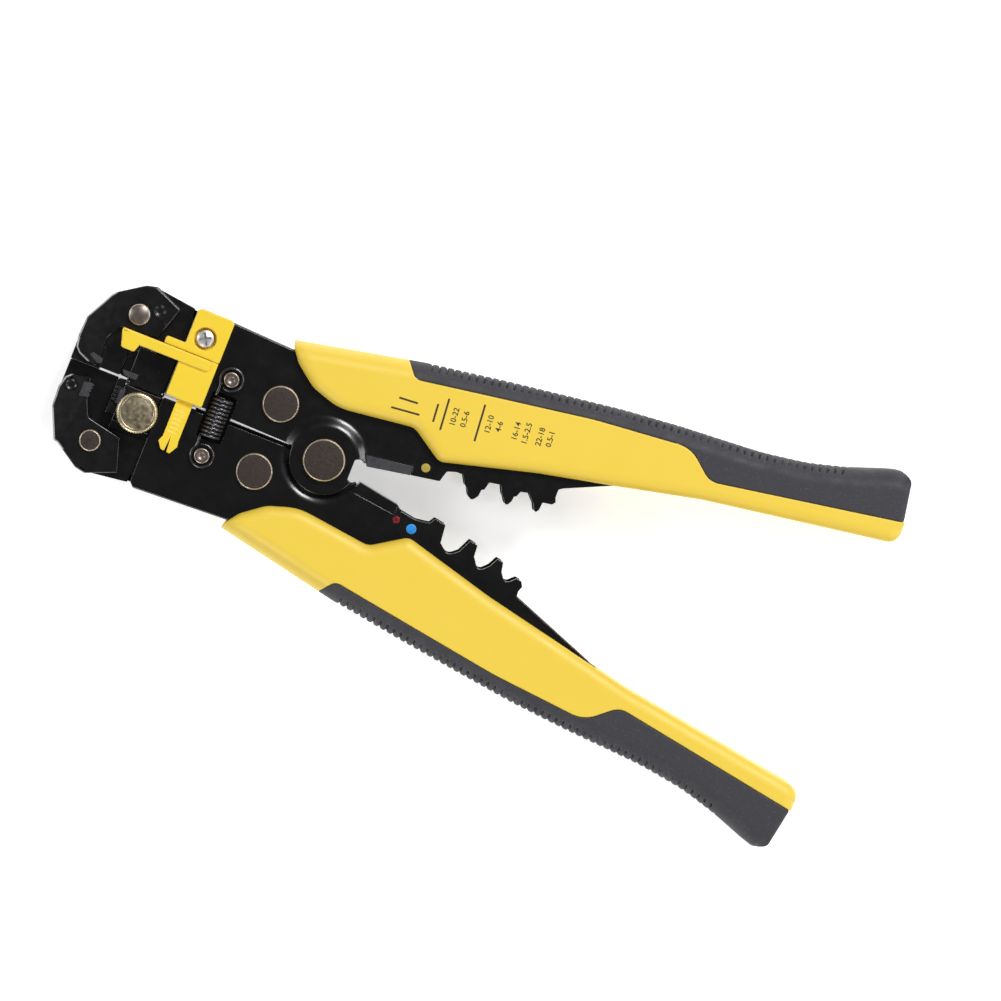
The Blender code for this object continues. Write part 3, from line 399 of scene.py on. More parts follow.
def filled(rim: Points, sizes: Sequence[int], seeds: Points) -> tuple[Points, np.ndarray]:
    """Fill the area within some outlines with triangles that face up.

    Args:
        rim: The outlines' points, one outline after another.
        sizes: Number of points of each outline.
        seeds: More points, used where they lie well within the area.

    Returns:
        The seeds that were used, and the triangles as indices into the rim with those seeds after it.
    """
    spans = [np.arange(end - size, end) for end, size in zip(np.cumsum(sizes), sizes)]
    rings = [rim[span] for span in spans]
    if len(seeds):
        clear = np.min([distance(seeds, np.vstack((ring, ring[:1]))) for ring in rings], 0) > SEED_GAP
        seeds = seeds[inside(seeds, rings) & clear]
    sides = np.concatenate([np.column_stack((span, np.roll(span, -1))) for span in spans])
    cap = np.vstack((rim, seeds))
    found = delaunay_2d_cdt([Vector(p) for p in cap.tolist()], sides.tolist(), [], 0, 1e-6)
    places = np.array([tuple(p) for p in found[0]])
    triangles = np.array([face for face in found[2] if max(face) < len(cap)])
    triangles = triangles[inside(places[triangles].mean(1), rings)]
    a, b, c = (places[triangles[:, i]] for i in range(3))
    over = (b[:, 0] - a[:, 0]) * (c[:, 1] - a[:, 1]) < (b[:, 1] - a[:, 1]) * (c[:, 0] - a[:, 0])
    triangles[over] = triangles[over][:, ::-1]
    return seeds, triangles


def slab(outline: Points, low: float, high: float, radius: float | Height = 0.2,
         low_radius: float | None = None, holes: Sequence[Points] = (), seeds: Points | None = None,
         top: Height | None = None, bottom: Height | None = None, steps: int = 4) -> Surface:
    """A flat solid with rounded edges.

    Each edge is a quarter round: at angle a from the wall the outline is moved in by radius * (1 - cos a)
    and lies radius * (1 - sin a) from the face. The faces are filled between the innermost outlines.

    Args:
        outline: Its outer line.
        low: Height of the lower face.
        high: Height of the upper face.
        radius: Radius of the upper edge, or a function that gives it at each outline point.
        low_radius: Radius of the lower edge, the upper one's if left out.
        holes: Outlines of holes.
        seeds: More points within the faces, for a face that isn't flat.
        top: Height to add to the upper face at (x, y).
        bottom: Height to add to the lower face at (x, y).
        steps: Number of strips across a rounded edge.

    Returns:
        The closed surface.
    """
    loops = [oriented(outline, 1)] + [oriented(hole, -1) for hole in holes]
    line = np.concatenate(loops)
    step = np.concatenate([mitres(loop) for loop in loops])
    upper = radius(line) if callable(radius) else np.full(len(line), radius)
    lower = upper if low_radius is None else np.full(len(line), low_radius)
    turn = np.linspace(0, math.pi / 2, steps + 1)[:, None]
    above_in = np.vstack((upper * (1 - np.cos(turn)), upper + LAND))
    above_down = np.vstack((upper * (1 - np.sin(turn)), 0 * upper))
    below_in = np.vstack((lower * (1 - np.cos(turn)), lower + LAND))
    below_up = np.vstack((lower * (1 - np.sin(turn)), 0 * lower))
    inset = np.vstack((below_in[::-1], above_in))
    plan = line - step * inset[..., None]
    flat = plan.reshape(-1, 2)
    rise = np.zeros(inset.shape) if top is None else top(flat).reshape(inset.shape)
    fall = np.zeros(inset.shape) if bottom is None else bottom(flat).reshape(inset.shape)
    half = steps + 2
    height = np.vstack((low + below_up[::-1] + fall[:half], high - above_down + rise[half:]))
    rows, count = height.shape
    quads, start = [], 0
    for loop in loops:
        faces = grid_faces(rows, len(loop), wrap_columns=True)
        quads.append(faces // len(loop) * count + faces % len(loop) + start)
        start += len(loop)
    sizes = [len(loop) for loop in loops]
    seeds, triangles = filled(plan[-1], sizes, np.zeros((0, 2)) if seeds is None else seeds)
    seed_top = high + (0 if top is None else top(seeds)) + np.zeros(len(seeds))
    seed_low = low + (0 if bottom is None else bottom(seeds)) + np.zeros(len(seeds))
    points = np.vstack((np.column_stack((flat, height.ravel())), np.column_stack((seeds, seed_top)),
                        np.column_stack((seeds, seed_low))))
    total = rows * count
    upper_cap = np.where(triangles < count, triangles + total - count, triangles - count + total)
    lower_cap = np.where(triangles < count, triangles, triangles - count + total + len(seeds))
    return Surface(points, np.concatenate(quads), np.vstack((upper_cap, lower_cap[:, ::-1])))


def turned(profile: Sequence[Corner], centre: Corner = (0, 0), count: int = 72, ring: bool = False,
           knurl: Callable[[np.ndarray, np.ndarray], np.ndarray] | None = None) -> Surface:
    """A profile of (radius, z), run up the outer side, carried round a z axis.

    Args:
        profile: The profile, from the axis to the axis, or a closed loop where ring is set.
        centre: (x, y) of the axis.
        count: Points round the axis.
        ring: Whether the profile's end joins its start.
        knurl: Length to add to the radius, from the profile's radius and the angle.

    Returns:
        The closed surface.
    """
    radius, height = np.array(profile, float).T
    turns = np.linspace(0, math.tau, count, endpoint=False)
    spread = radius[:, None] + np.zeros(count)
    if knurl is not None:
        spread = spread + knurl(spread, turns[None] + np.zeros((len(radius), 1)))
    points = np.stack((centre[0] + spread * np.cos(turns), centre[1] + spread * np.sin(turns),
                       height[:, None] + np.zeros(count)), -1)
    return Surface(points.reshape(-1, 3), grid_faces(len(radius), count, ring, True))


def tube(path: Points, lean: Points, radius: float, count: int = 12) -> Surface:
    """A round wire along a path, with domed ends.

    Each ring lies across the path's direction. Its first axis is the lean vector with the part along the
    path taken out, so the rings never twist suddenly.

    Args:
        path: Points of the centre line.
        lean: A vector across the path at each point.
        radius: Radius of the wire.
        count: Points round the wire.

    Returns:
        The closed surface.
    """
    along = np.gradient(path, axis=0)
    along /= np.linalg.norm(along, axis=1)[:, None]
    across = lean - np.sum(lean * along, 1)[:, None] * along
    across /= np.linalg.norm(across, axis=1)[:, None]
    third = np.cross(along, across)
    dome = np.radians((90, 67, 45, 22, 0))
    middle = np.concatenate((path[:1] - along[:1] * radius * np.sin(dome)[:, None], path[1:-1],
                             path[-1:] + along[-1:] * radius * np.sin(dome[::-1])[:, None]))
    size = np.concatenate((np.cos(dome), np.ones(len(path) - 2), np.cos(dome[::-1]))) * radius
    spread = [np.concatenate((np.repeat(v[:1], len(dome), 0), v[1:-1], np.repeat(v[-1:], len(dome), 0)))
              for v in (across, third)]
    turns = np.linspace(0, math.tau, count, endpoint=False)[None, :, None]
    ring = spread[0][:, None] * np.cos(turns) + spread[1][:, None] * np.sin(turns)
    points = middle[:, None] + size[:, None, None] * ring
    return Surface(points.reshape(-1, 3), grid_faces(len(middle), count, False, True)[:, ::-1])


# ---- finishes -----------------------------------------------------------------------------------
@dataclass(frozen=True)
class Finish:
    """A surface finish.

    Attributes:
        name: The material's name.
        slot: The record's material slot that it answers to; not used.
        colour: Its colour.
        shade: Second colour that a broad mottling mixes in.
        mottle: Number of patches of that mottling in a metre.
        metallic: Share of bare metal.
        roughness: Lowest and highest roughness, mixed by the same kind of mottling.
        grain: Number of fine bumps in a metre.
        depth: Their height in metres.
        brushed: How many times longer the grain is along x than across.
        edge: Colour where the piece's edge attribute is 1: a painted highlight on rivet chamfers, post rims
            and the lacquer's rounded edges, and a lighter rim on the knob.
        speck: Colour of sparse bright specks in the surface.
        coat: Weight of a clear coat.
    """

    name: str
    slot: str
    colour: tuple[float, float, float]
    shade: tuple[float, float, float]
    mottle: float = 60.0
    metallic: float = 0.0
    roughness: tuple[float, float] = (0.3, 0.4)
    grain: float = 2500.0
    depth: float = 0.000004
    brushed: float = 1.0
    edge: tuple[float, float, float] | None = None
    speck: tuple[float, float, float] | None = None
    coat: float = 0.0

    def material(self) -> bpy.types.Material:
        """Make the material, or find it if it was made before.

        Returns:
            The material.
        """
        made = bpy.data.materials.get(self.name)
        if made is not None:
            return made
        made = bpy.data.materials.new(self.name)
        made.use_nodes = True
        tree = made.node_tree
        shader = tree.nodes["Principled BSDF"]
        shader.inputs["Metallic"].default_value = self.metallic
        shader.inputs["Coat Weight"].default_value = self.coat
        shader.inputs["Coat Roughness"].default_value = 0.12
        place = tree.nodes.new("ShaderNodeTexCoord").outputs["Object"]
        colour = self.mix(tree, self.noise(tree, place, self.mottle, 5.0), self.shade, self.colour)
        if self.speck is not None:
            dust = self.noise(tree, place, self.grain * 0.6, 2.0)
            colour = self.mix(tree, self.ramp(tree, dust, (0.60, 0.72)), colour, self.speck)
        if self.edge is not None:
            mark = tree.nodes.new("ShaderNodeAttribute")
            mark.attribute_name = "edge"
            colour = self.mix(tree, mark.outputs["Fac"], colour, self.edge)
        wear = self.noise(tree, place, self.mottle * 3.1, 8.0)
        stretch = tree.nodes.new("ShaderNodeMapping")
        stretch.inputs["Scale"].default_value = (1 / self.brushed, 1.0, 1.0)
        bump = tree.nodes.new("ShaderNodeBump")
        bump.inputs["Distance"].default_value = self.depth
        tree.links.new(place, stretch.inputs["Vector"])
        tree.links.new(self.noise(tree, stretch.outputs["Vector"], self.grain, 3.0), bump.inputs["Height"])
        tree.links.new(colour, shader.inputs["Base Color"])
        tree.links.new(self.ramp(tree, wear, (0.3, 0.7), self.roughness), shader.inputs["Roughness"])
        tree.links.new(bump.outputs["Normal"], shader.inputs["Normal"])
        return made

    @staticmethod
    def noise(tree: bpy.types.NodeTree, place: bpy.types.NodeSocket, scale: float,
              detail: float) -> bpy.types.NodeSocket:
        """Add noise of a number of patches a metre and return its value."""
        node = tree.nodes.new("ShaderNodeTexNoise")
        node.inputs["Scale"].default_value = scale
        node.inputs["Detail"].default_value = detail
        tree.links.new(place, node.inputs["Vector"])
        return node.outputs["Fac"]

    @staticmethod
    def ramp(tree: bpy.types.NodeTree, value: bpy.types.NodeSocket, span: tuple[float, float],
             result: tuple[float, float] = (0.0, 1.0)) -> bpy.types.NodeSocket:
        """Add a ramp that takes a value from the span to the result, and stays level beyond both ends."""
        node = tree.nodes.new("ShaderNodeMapRange")
        for name, number in zip(("From Min", "From Max", "To Min", "To Max"), (*span, *result)):
            node.inputs[name].default_value = number
        tree.links.new(value, node.inputs["Value"])
        return node.outputs["Result"]

    @staticmethod
    def mix(tree: bpy.types.NodeTree, factor: bpy.types.NodeSocket, first: bpy.types.NodeSocket | tuple,
            second: bpy.types.NodeSocket | tuple) -> bpy.types.NodeSocket:
        """Add a mix of two colours, each a fixed colour or another node's, by a factor."""
        node = tree.nodes.new("ShaderNodeMix")
        node.data_type = "RGBA"
        tree.links.new(factor, node.inputs["Factor"])
        for name, value in (("A", first), ("B", second)):
            socket = next(s for s in node.inputs if s.name == name and s.type == "RGBA")
            if isinstance(value, tuple):
                socket.default_value = (*value, 1.0)
            else:
                tree.links.new(value, socket)
        return next(s for s in node.outputs if s.type == "RGBA")


LACQUER = Finish("black_lacquer", "black_steel", (0.0045, 0.004, 0.0045), (0.003, 0.003, 0.003), 90.0,
                 roughness=(0.2, 0.3), grain=700.0, depth=0.000012, coat=0.3)
# Lacquer with a painted highlight: bright grey where the edge attribute marks the slit's upper lip.
LACQUER_PAINTED_LIP_HIGHLIGHT = replace(LACQUER, name="worn_lacquer", edge=(0.62, 0.62, 0.66))
CAST_BLACK = Finish("black_cast_lacquer", "black_jaw", (0.005, 0.0045, 0.005), (0.0035, 0.0035, 0.004), 140.0,
                    roughness=(0.24, 0.36), grain=1800.0, depth=0.000008, coat=0.25)
# Cast black with a painted highlight: grey along the noses' front edges where the edge attribute marks them.
CAST_PAINTED_FRONT_HIGHLIGHT = replace(CAST_BLACK, name="worn_cast_lacquer", edge=(0.4, 0.4, 0.43))
# Browned rivet steel; the edge colour is a painted highlight on each rivet's chamfer.
BROWNED = Finish("browned_rivet_steel", "rivet_steel", (0.125, 0.098, 0.088), (0.085, 0.065, 0.058), 700.0,
                 metallic=0.85, roughness=(0.34, 0.5), grain=3000.0, depth=0.000006, edge=(0.82, 0.70, 0.52))
# Rivet steel painted lighter, standing in for light falling on a dome: used for the domed nose rivet and the
# spring posts; its edge colour is a painted highlight.
RIVET_STEEL_PAINTED_LIGHTER = Finish("worn_rivet_steel", "rivet_steel", (0.3, 0.25, 0.22), (0.2, 0.165, 0.15), 700.0,
                        metallic=0.9, roughness=(0.3, 0.42), grain=3000.0, depth=0.000006,
                        edge=(0.8, 0.7, 0.55))
BRIGHT = Finish("bright_steel", "bright_steel", (0.66, 0.65, 0.63), (0.5, 0.49, 0.48), 300.0, metallic=1.0,
                roughness=(0.16, 0.3), grain=2600.0, depth=0.000003, brushed=6.0)
GROUND = Finish("ground_blade_steel", "blade_steel", (0.11, 0.11, 0.12), (0.08, 0.08, 0.09), 260.0,
                metallic=0.7, roughness=(0.34, 0.5), grain=3000.0, depth=0.000008, brushed=8.0)
SPRING_WIRE = Finish("spring_wire", "spring_steel", (0.15, 0.145, 0.155), (0.09, 0.087, 0.092), 500.0,
                     metallic=0.9, roughness=(0.2, 0.34), grain=3000.0, depth=0.000002)
GRIP_YELLOW = Finish("grip_yellow_plastic", "grip_yellow", (0.86, 0.62, 0.07), (0.85, 0.6, 0.062), 45.0,
                     roughness=(0.42, 0.5), grain=3500.0, depth=0.000006)
GRIP_GREY = Finish("grip_grey_rubber", "grip_grey", (0.037, 0.036, 0.044), (0.032, 0.031, 0.038), 80.0,
                   roughness=(0.55, 0.72), grain=3600.0, depth=0.00003, speck=(0.06, 0.06, 0.072))
STOP_YELLOW = Finish("stop_yellow_plastic", "stop_yellow", (0.9, 0.645, 0.045), (0.88, 0.62, 0.04), 120.0,
                     roughness=(0.3, 0.42), grain=1500.0, depth=0.000006)
BRASS = Finish("aged_brass", "brass", (0.52, 0.44, 0.30), (0.45, 0.38, 0.255), 260.0, metallic=1.0,
               roughness=(0.26, 0.5), grain=1400.0, depth=0.000008, edge=(0.78, 0.68, 0.43))
PAINTS = {
    name: Finish(f"dot_{name}_paint", slot, colour, shade, 500.0, grain=900.0)
    for name, slot, colour, shade in (("yellow", "stop_yellow", (0.5, 0.38, 0.07), (0.36, 0.27, 0.04)),
                                      ("red", "black_steel", (0.22, 0.004, 0.008), (0.1, 0.002, 0.004)),
                                      ("blue", "black_steel", (0.03, 0.32, 0.8), (0.02, 0.2, 0.6)))
}
PRINT = Finish("black_print", "black_jaw", (0.03, 0.024, 0.015), (0.05, 0.04, 0.02), 900.0,
               roughness=(0.5, 0.6))


# ---- making pieces ------------------------------------------------------------------------------
def added(name: str, data: bpy.types.ID) -> bpy.types.Object:
    """A new object in the scene."""
    item = bpy.data.objects.new(name, data)
    bpy.context.scene.collection.objects.link(item)
    return item


def evaluated(item: bpy.types.Object) -> bpy.types.Mesh:
    """A new mesh of the piece as its modifiers leave it."""
    bpy.context.view_layer.update()
    return bpy.data.meshes.new_from_object(item.evaluated_get(bpy.context.evaluated_depsgraph_get()))


def coordinates(mesh: bpy.types.Mesh) -> Points:
    """The mesh's points, one a row."""
    values = np.empty(len(mesh.vertices) * 3, np.float32)
    mesh.vertices.foreach_get("co", values)
    return values.reshape(-1, 3)


def heights(node: str) -> tuple[float, float]:
    """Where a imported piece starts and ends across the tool."""
    low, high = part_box(node)
    return (low[2] - PIVOT[2]) / MM, (high[2] - PIVOT[2]) / MM


def half_height(node: str) -> float:
    """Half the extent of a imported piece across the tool."""
    low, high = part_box(node)
    return (high[2] - low[2]) / 2 / MM


def set_shading(mesh: bpy.types.Mesh, sharp: float) -> None:
    """Smooth the shading but for edges that turn by more than sharp degrees."""
    mesh.shade_smooth()
    mesh.set_sharp_from_angle(angle=math.radians(sharp))


def solid(name: str, surface: Surface, sharp: float = 40.0) -> bpy.types.Object:
    """Make an object of a surface, with its poles and seams closed and its faces turned outwards.

    Args:
        name: The object's name.
        surface: The surface in tool millimetres.
        sharp: Degrees above which an edge is shaded sharp.

    Returns:
        The object, at the origin with its place in its mesh.
    """
    mesh = bpy.data.meshes.new(name)
    faces = surface.quads.tolist() + surface.triangles.tolist()
    mesh.from_pydata((PIVOT + surface.points * MM).tolist(), [], faces)
    shape = bmesh.new()
    shape.from_mesh(mesh)
    bmesh.ops.remove_doubles(shape, verts=shape.verts, dist=2e-7)
    bmesh.ops.dissolve_degenerate(shape, edges=shape.edges, dist=2e-7)
    bmesh.ops.recalc_face_normals(shape, faces=shape.faces)
    shape.to_mesh(mesh)
    shape.free()
    set_shading(mesh, sharp)
    return added(name, mesh)


def combined(item: bpy.types.Object, tool: Surface, operation: str, sharp: float = 40.0) -> bpy.types.Object:
    """Cut a surface's volume out of a piece, or weld it on.

    Args:
        item: The piece.
        tool: The other volume.
        operation: DIFFERENCE or UNION.
        sharp: Degrees above which an edge is shaded sharp.

    Returns:
        The piece with its new mesh.
    """
    other = solid(f"{item.name}_tool", tool)
    boolean = item.modifiers.new("combined", "BOOLEAN")
    boolean.operation = operation
    boolean.object = other
    mesh = evaluated(item)
    item.modifiers.clear()
    item.data = mesh
    bpy.data.objects.remove(other, do_unlink=True)
    set_shading(mesh, sharp)
    return item


def dress(item: bpy.types.Object, body: str, finish: Finish, nodes: Sequence[str] = (),
          edge: Height | None = None) -> bpy.types.Object:
    """Give a piece its finish, its body and the nodes that it stands for.

    Args:
        item: The piece.
        body: The body that it rides on.
        finish: Its finish.
        nodes: The nodes that it replaces.
        edge: Value from 0 to 1 of the edge attribute, from the points in tool millimetres.

    Returns:
        The piece.
    """
    item.data.materials.clear()
    item.data.materials.append(finish.material())
    if edge is not None:
        values = edge((coordinates(item.data) - PIVOT) / MM).astype(np.float32)
        item.data.attributes.new("edge", "FLOAT", "POINT").data.foreach_set("value", values)
    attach(item, body)
    if nodes:
        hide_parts(*nodes)
    LOG.info("%s rides on %s, %d faces", item.name, body, len(item.data.polygons))
    return item


# ---- levers -------------------------------------------------------------------------------------
@dataclass
class LeverFrame:
    """One lever's two side plates, the bent web along its back, its cutter insert and its paint dots."""

    side: Side
    disc_radius: float = 8.6
    joggle_start: float = 7.9
    joggle_end: float = 11.3
    edge_radius: float = 0.2
    back_radius: float = 0.45
    slit_radius: float = 0.35
    bore: float = 3.5
    sheet: float = 1.8

    def build(self) -> None:
        """Make the lever's steel and dress it."""
        side, title = self.side, self.side.title
        body, node = f"{title}_lever", f"{title}_lever_frame"
        plate = self.plate()
        for face in Face:
            item = solid(f"{title}_plate_{face.title}", plate.on(face))
            # The upper plates carry a painted highlight along the slit's upper lip.
            dress(item, body, side.pick(LACQUER_PAINTED_LIP_HIGHLIGHT, LACQUER), [node], self.lip)
        dress(solid(f"{title}_back_web", self.web()), body, LACQUER, [node])
        insert = slab(np.array(side.pick(UPPER_BLADE, LOWER_BLADE)), -PLATE_OUT + 0.1, PLATE_OUT - 0.1, 0.1)
        item = solid(f"{title}_cutter_insert", insert)
        dress(item, body, side.pick(GROUND, LACQUER), [f"{title}_cutter_blade"])
        dots = side.pick([("yellow", 24.0, 7.4, 1.1)],
                         [("red", 21.95, -7.1, 0.9), ("blue", 26.2, -7.9, 1.25)])
        for colour, x, y, radius in dots:
            dress(solid(f"{title}_{colour}_dot", self.dot(x, y, radius)), body, PAINTS[colour])

    def dot(self, x: float, y: float, radius: float) -> Surface:
        """A drop of paint: a low dome with a rolled edge and a slight hollow in the middle."""
        share = np.array((0, 0.3, 0.6, 0.8, 0.92, 1.0))
        height = PLATE_OUT + 0.16 * np.sqrt(1 - share**2) - 0.07 * (1 - share) ** 2
        profile = [(0, PLATE_OUT - 0.1), (radius, PLATE_OUT - 0.1), *zip(radius * share[::-1], height[::-1])]
        return turned(profile, (x, y), 32)

    def outline(self) -> Points:
        """The plate's outline with its pivot disc's free edge, its points close together."""
        pick, mirror = self.side.pick, self.side.mirror
        crimp = pick(UPPER_CRIMP + UPPER_NOTCH, LOWER_CRIMP + LOWER_NOTCH)
        end = pick(UPPER_NOTCH_END, LOWER_NOTCH_END)
        slit = math.degrees(math.asin(0.4 / self.disc_radius))
        start = math.degrees(math.atan2(end[1], end[0])) % 360
        disc = arc(self.disc_radius, start, 180 - self.side.value * slit, 90)
        corners = mirror(HEAD + TANG_OUTER + pick(TANG_INNER, LOWER_TANG_INNER)) + crimp
        corners += [tuple(point) for point in disc]
        return refined(rounded(corners + mirror(WINDOW[::-1])), 0.7)

    def lift(self, points: Points) -> np.ndarray:
        """How far the joggle carries the plate: a cosine ramp between two radii about the pivot."""
        share = np.clip((self.joggle_end - np.hypot(*points.T)) / (self.joggle_end - self.joggle_start), 0, 1)
        return self.side.pick(UPPER_DISC_LIFT, LOWER_DISC_LIFT) * (1 - np.cos(math.pi * share)) / 2

    def edges(self, points: Points) -> np.ndarray:
        """Edge radius: large along the lever's bent back and the upper lip of the slit, small elsewhere."""
        back = resampled(rounded(self.side.mirror(HEAD[1:] + TANG_OUTER), closed=False), 1.0)
        near = np.clip(1.2 - distance(points, back) / 0.5, 0, 1)
        slit = self.lip_width(points) * (np.abs(points[:, 1]) < 0.45) * (self.side is Side.UPPER)
        return self.edge_radius + (self.back_radius - self.edge_radius) * near + slit

    def lip_width(self, points: Points) -> np.ndarray:
        """Radius that the slit's upper lip has on top of a common edge: it dies out towards the pivot."""
        return self.slit_radius * np.where(points[:, 0] < -25, 1.0, np.clip((-9 - points[:, 0]) / 15, 0, 1))

    def lip(self, points: Points) -> np.ndarray:
        """Where a highlight is painted: bright grey on the rounded upper lip of the slit between the levers.
        """
        x, y, z = points.T
        end = 0.4 + self.edge_radius + self.lip_width(points) + 0.02
        return (np.abs(z) > PLATE_OUT - 0.62) & (y > 0.3) & (y < end) & (x < -9.5) & (self.side is Side.UPPER)

    def plate(self) -> Surface:
        """The near side plate, joggled round the pivot."""
        radii = np.linspace(self.joggle_start - 0.5, self.joggle_end + 0.4, 17)
        rings = [circle((0, 0), radius, 120) for radius in radii]
        link, post = self.side.mirror((LINK, POST))
        holes = [circle((0, 0), self.bore), circle(link, 2.5), circle(post, 1.5, 24)]
        if self.side is Side.UPPER:
            holes.append(circle(STOP_SCREW, 1.5, 24))
        return slab(self.outline(), PLATE_IN, PLATE_OUT, self.edges, 0.06, holes, np.vstack(rings),
                    self.lift, self.lift)

    def web(self) -> Surface:
        """The back of the bent sheet, between the two plates and flush with their edges."""
        line = rounded(self.side.mirror([HEAD[2], *TANG_OUTER]), closed=False)
        drop = np.array((0, -self.side.value))
        outline = np.vstack((line + drop * 0.03, (line + drop * self.sheet)[::-1]))
        return slab(refined(outline, 3.0), -PLATE_IN - 0.5, PLATE_IN + 0.5, 0.04)


@dataclass
class Rivets:
    """The rivets and spring posts that show as round heads on both sides of the tool."""

    chamfer: float = 0.32

    def build(self) -> None:
        """Make every rivet and post and dress it."""
        self.rivet("main_pivot_rivet", "upper_lever", (0, 0), 3.2, 5.2, 9.9, 11.1, 0.12)
        for side in Side:
            title, body = side.title, f"{side.title}_lever"
            link, nose, post = side.mirror((LINK, NOSE_RIVET, POST))
            self.rivet(f"{title}_link_rivet", body, link, 2.2, 4.5, 8.45, 9.6, 0.1)
            dome = side.pick(0.45, 0.08)
            self.rivet(f"{title}_nose_rivet", f"{title}_jaw", nose, 1.3, 2.65, 8.45, 9.35, dome)
            for face in Face:
                self.post(f"{title}_spring_post_{face.title}", body, post, face)

    def rivet(self, node: str, body: str, centre: Corner, shaft: float, head: float, seat: float, top: float,
              dome: float) -> None:
        """Turn one rivet with a chamfered, slightly domed head on both sides.

        Args:
            node: The node that it stands for.
            body: The body that it rides on.
            centre: (x, y) of its axis.
            shaft: Shaft radius.
            head: Head radius.
            seat: Height of the head's underside.
            top: Height of the head's rim.
            dome: How far the middle of the head stands above its rim.
        """
        face = head - self.chamfer
        share = np.array((0.0, 0.12, 0.3, 0.5, 0.7, 0.85, 0.95, 1.0))
        crown = [(face * s, top + dome * (1 - s**2)) for s in share[::-1]]
        upper = [(shaft, seat), (head - 0.05, seat), (head, seat + 0.05), (head, top - self.chamfer),
                 (head - 0.04, top - self.chamfer + 0.07), (face + 0.07, top - 0.03), *crown]
        profile = [(r, -z) for r, z in upper[::-1]] + upper
        item = solid(f"{node}_turned", turned(profile, centre, 96))
        # The domed nose rivet takes the rivet steel painted lighter, which stands in for the light on its
        # dome.
        finish = RIVET_STEEL_PAINTED_LIGHTER if dome > 0.3 else BROWNED
        # The chamfer and rim are marked for the edge colour, a painted highlight.
        dress(item, body, finish, [node], lambda points: off_axis(points, centre) > face + 0.01)

    def post(self, node: str, body: str, centre: Corner, face: Face) -> None:
        """Turn one grooved spring post, with a hollow in the middle of its head."""
        profile = [(0, 6.6), (1.2, 6.6), (1.2, 10.2), (1.7, 10.35), (1.88, 10.5), (1.9, 10.95), (1.82, 11.12),
                   (1.65, 11.2), (1.0, 11.17), (0.7, 11.02), (0.35, 10.92), (0, 10.9)]
        item = solid(f"{node}_turned", turned(profile, centre, 48).on(face))
        # The post's head is painted lighter, with a painted highlight on the ring of its rim.
        dress(item, body, RIVET_STEEL_PAINTED_LIGHTER, [node],
              lambda points: np.abs(off_axis(points, centre) - 1.78) < 0.1)


@dataclass
class ReturnSpring:
    """One extension spring with a loop round each post."""

    face: Face
    coil_radius: float = 2.25
    wire_radius: float = 0.41
    turns: int = 10
    end_y: float = 5.1
    loop_radius: float = 2.75
    loop_z: float = 9.3
    axis_x: float = POST[0]
    axis_z: float = 8.7
    reach: float = 6.6

    def hook(self) -> tuple[Points, Points]:
        """The upper loop and the bend that leads to it from the coil's end.

        The bend is a cubic that leaves the coil along +z and meets the loop along its own direction; the
        loop is a circle about the post, run clockwise.
        """
        start = np.array((self.axis_x - self.coil_radius, self.end_y, self.axis_z))
        angle = np.radians(np.linspace(-150, -470, 44))
        loop = np.column_stack((self.axis_x + self.loop_radius * np.cos(angle),
                                POST[1] + self.loop_radius * np.sin(angle), np.full(len(angle), self.loop_z)))
        out = np.column_stack((np.cos(angle), np.sin(angle), 0 * angle))
        leave, meet = np.array((0, 1.0, 3.0)), 3.0 * np.array((math.sin(angle[0]), -math.cos(angle[0]), 0))
        t = np.linspace(0, 1, 12)[1:-1, None]
        bend = ((2 * t**3 - 3 * t**2 + 1) * start + (t**3 - 2 * t**2 + t) * leave
                + (3 * t**2 - 2 * t**3) * loop[0] + (t**3 - t**2) * meet)
        lean = (1 - t) * np.array((-1.0, 0, 0)) + t * out[0]
        return np.vstack((bend, loop)), np.vstack((lean, out))

    def build(self) -> None:
        """Carry the wire along coil and hooks, between the posts on the two levers."""
        angle = np.linspace(math.pi, math.pi + math.tau * self.turns, 24 * self.turns)
        rise = np.linspace(-self.end_y, self.end_y, len(angle))
        coil = np.column_stack((self.axis_x + self.coil_radius * np.cos(angle), rise,
                                self.axis_z - self.coil_radius * np.sin(angle)))
        out = np.column_stack((np.cos(angle), 0 * angle, -np.sin(angle)))
        hook, lean = self.hook()
        other = np.array((1, -1, 1))
        path = np.vstack(((hook * other)[::-1], coil, hook))
        leans = np.vstack(((lean * other)[::-1], out, lean))
        node = f"return_spring_{self.face.title}"
        item = solid(f"{node}_wire", tube(path, leans, self.wire_radius).on(self.face), 60)
        item.data.materials.append(SPRING_WIRE.material())
        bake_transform(item)
        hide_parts(node)
        LOG.info("%s stretches between the levers, %d faces", item.name, len(item.data.polygons))


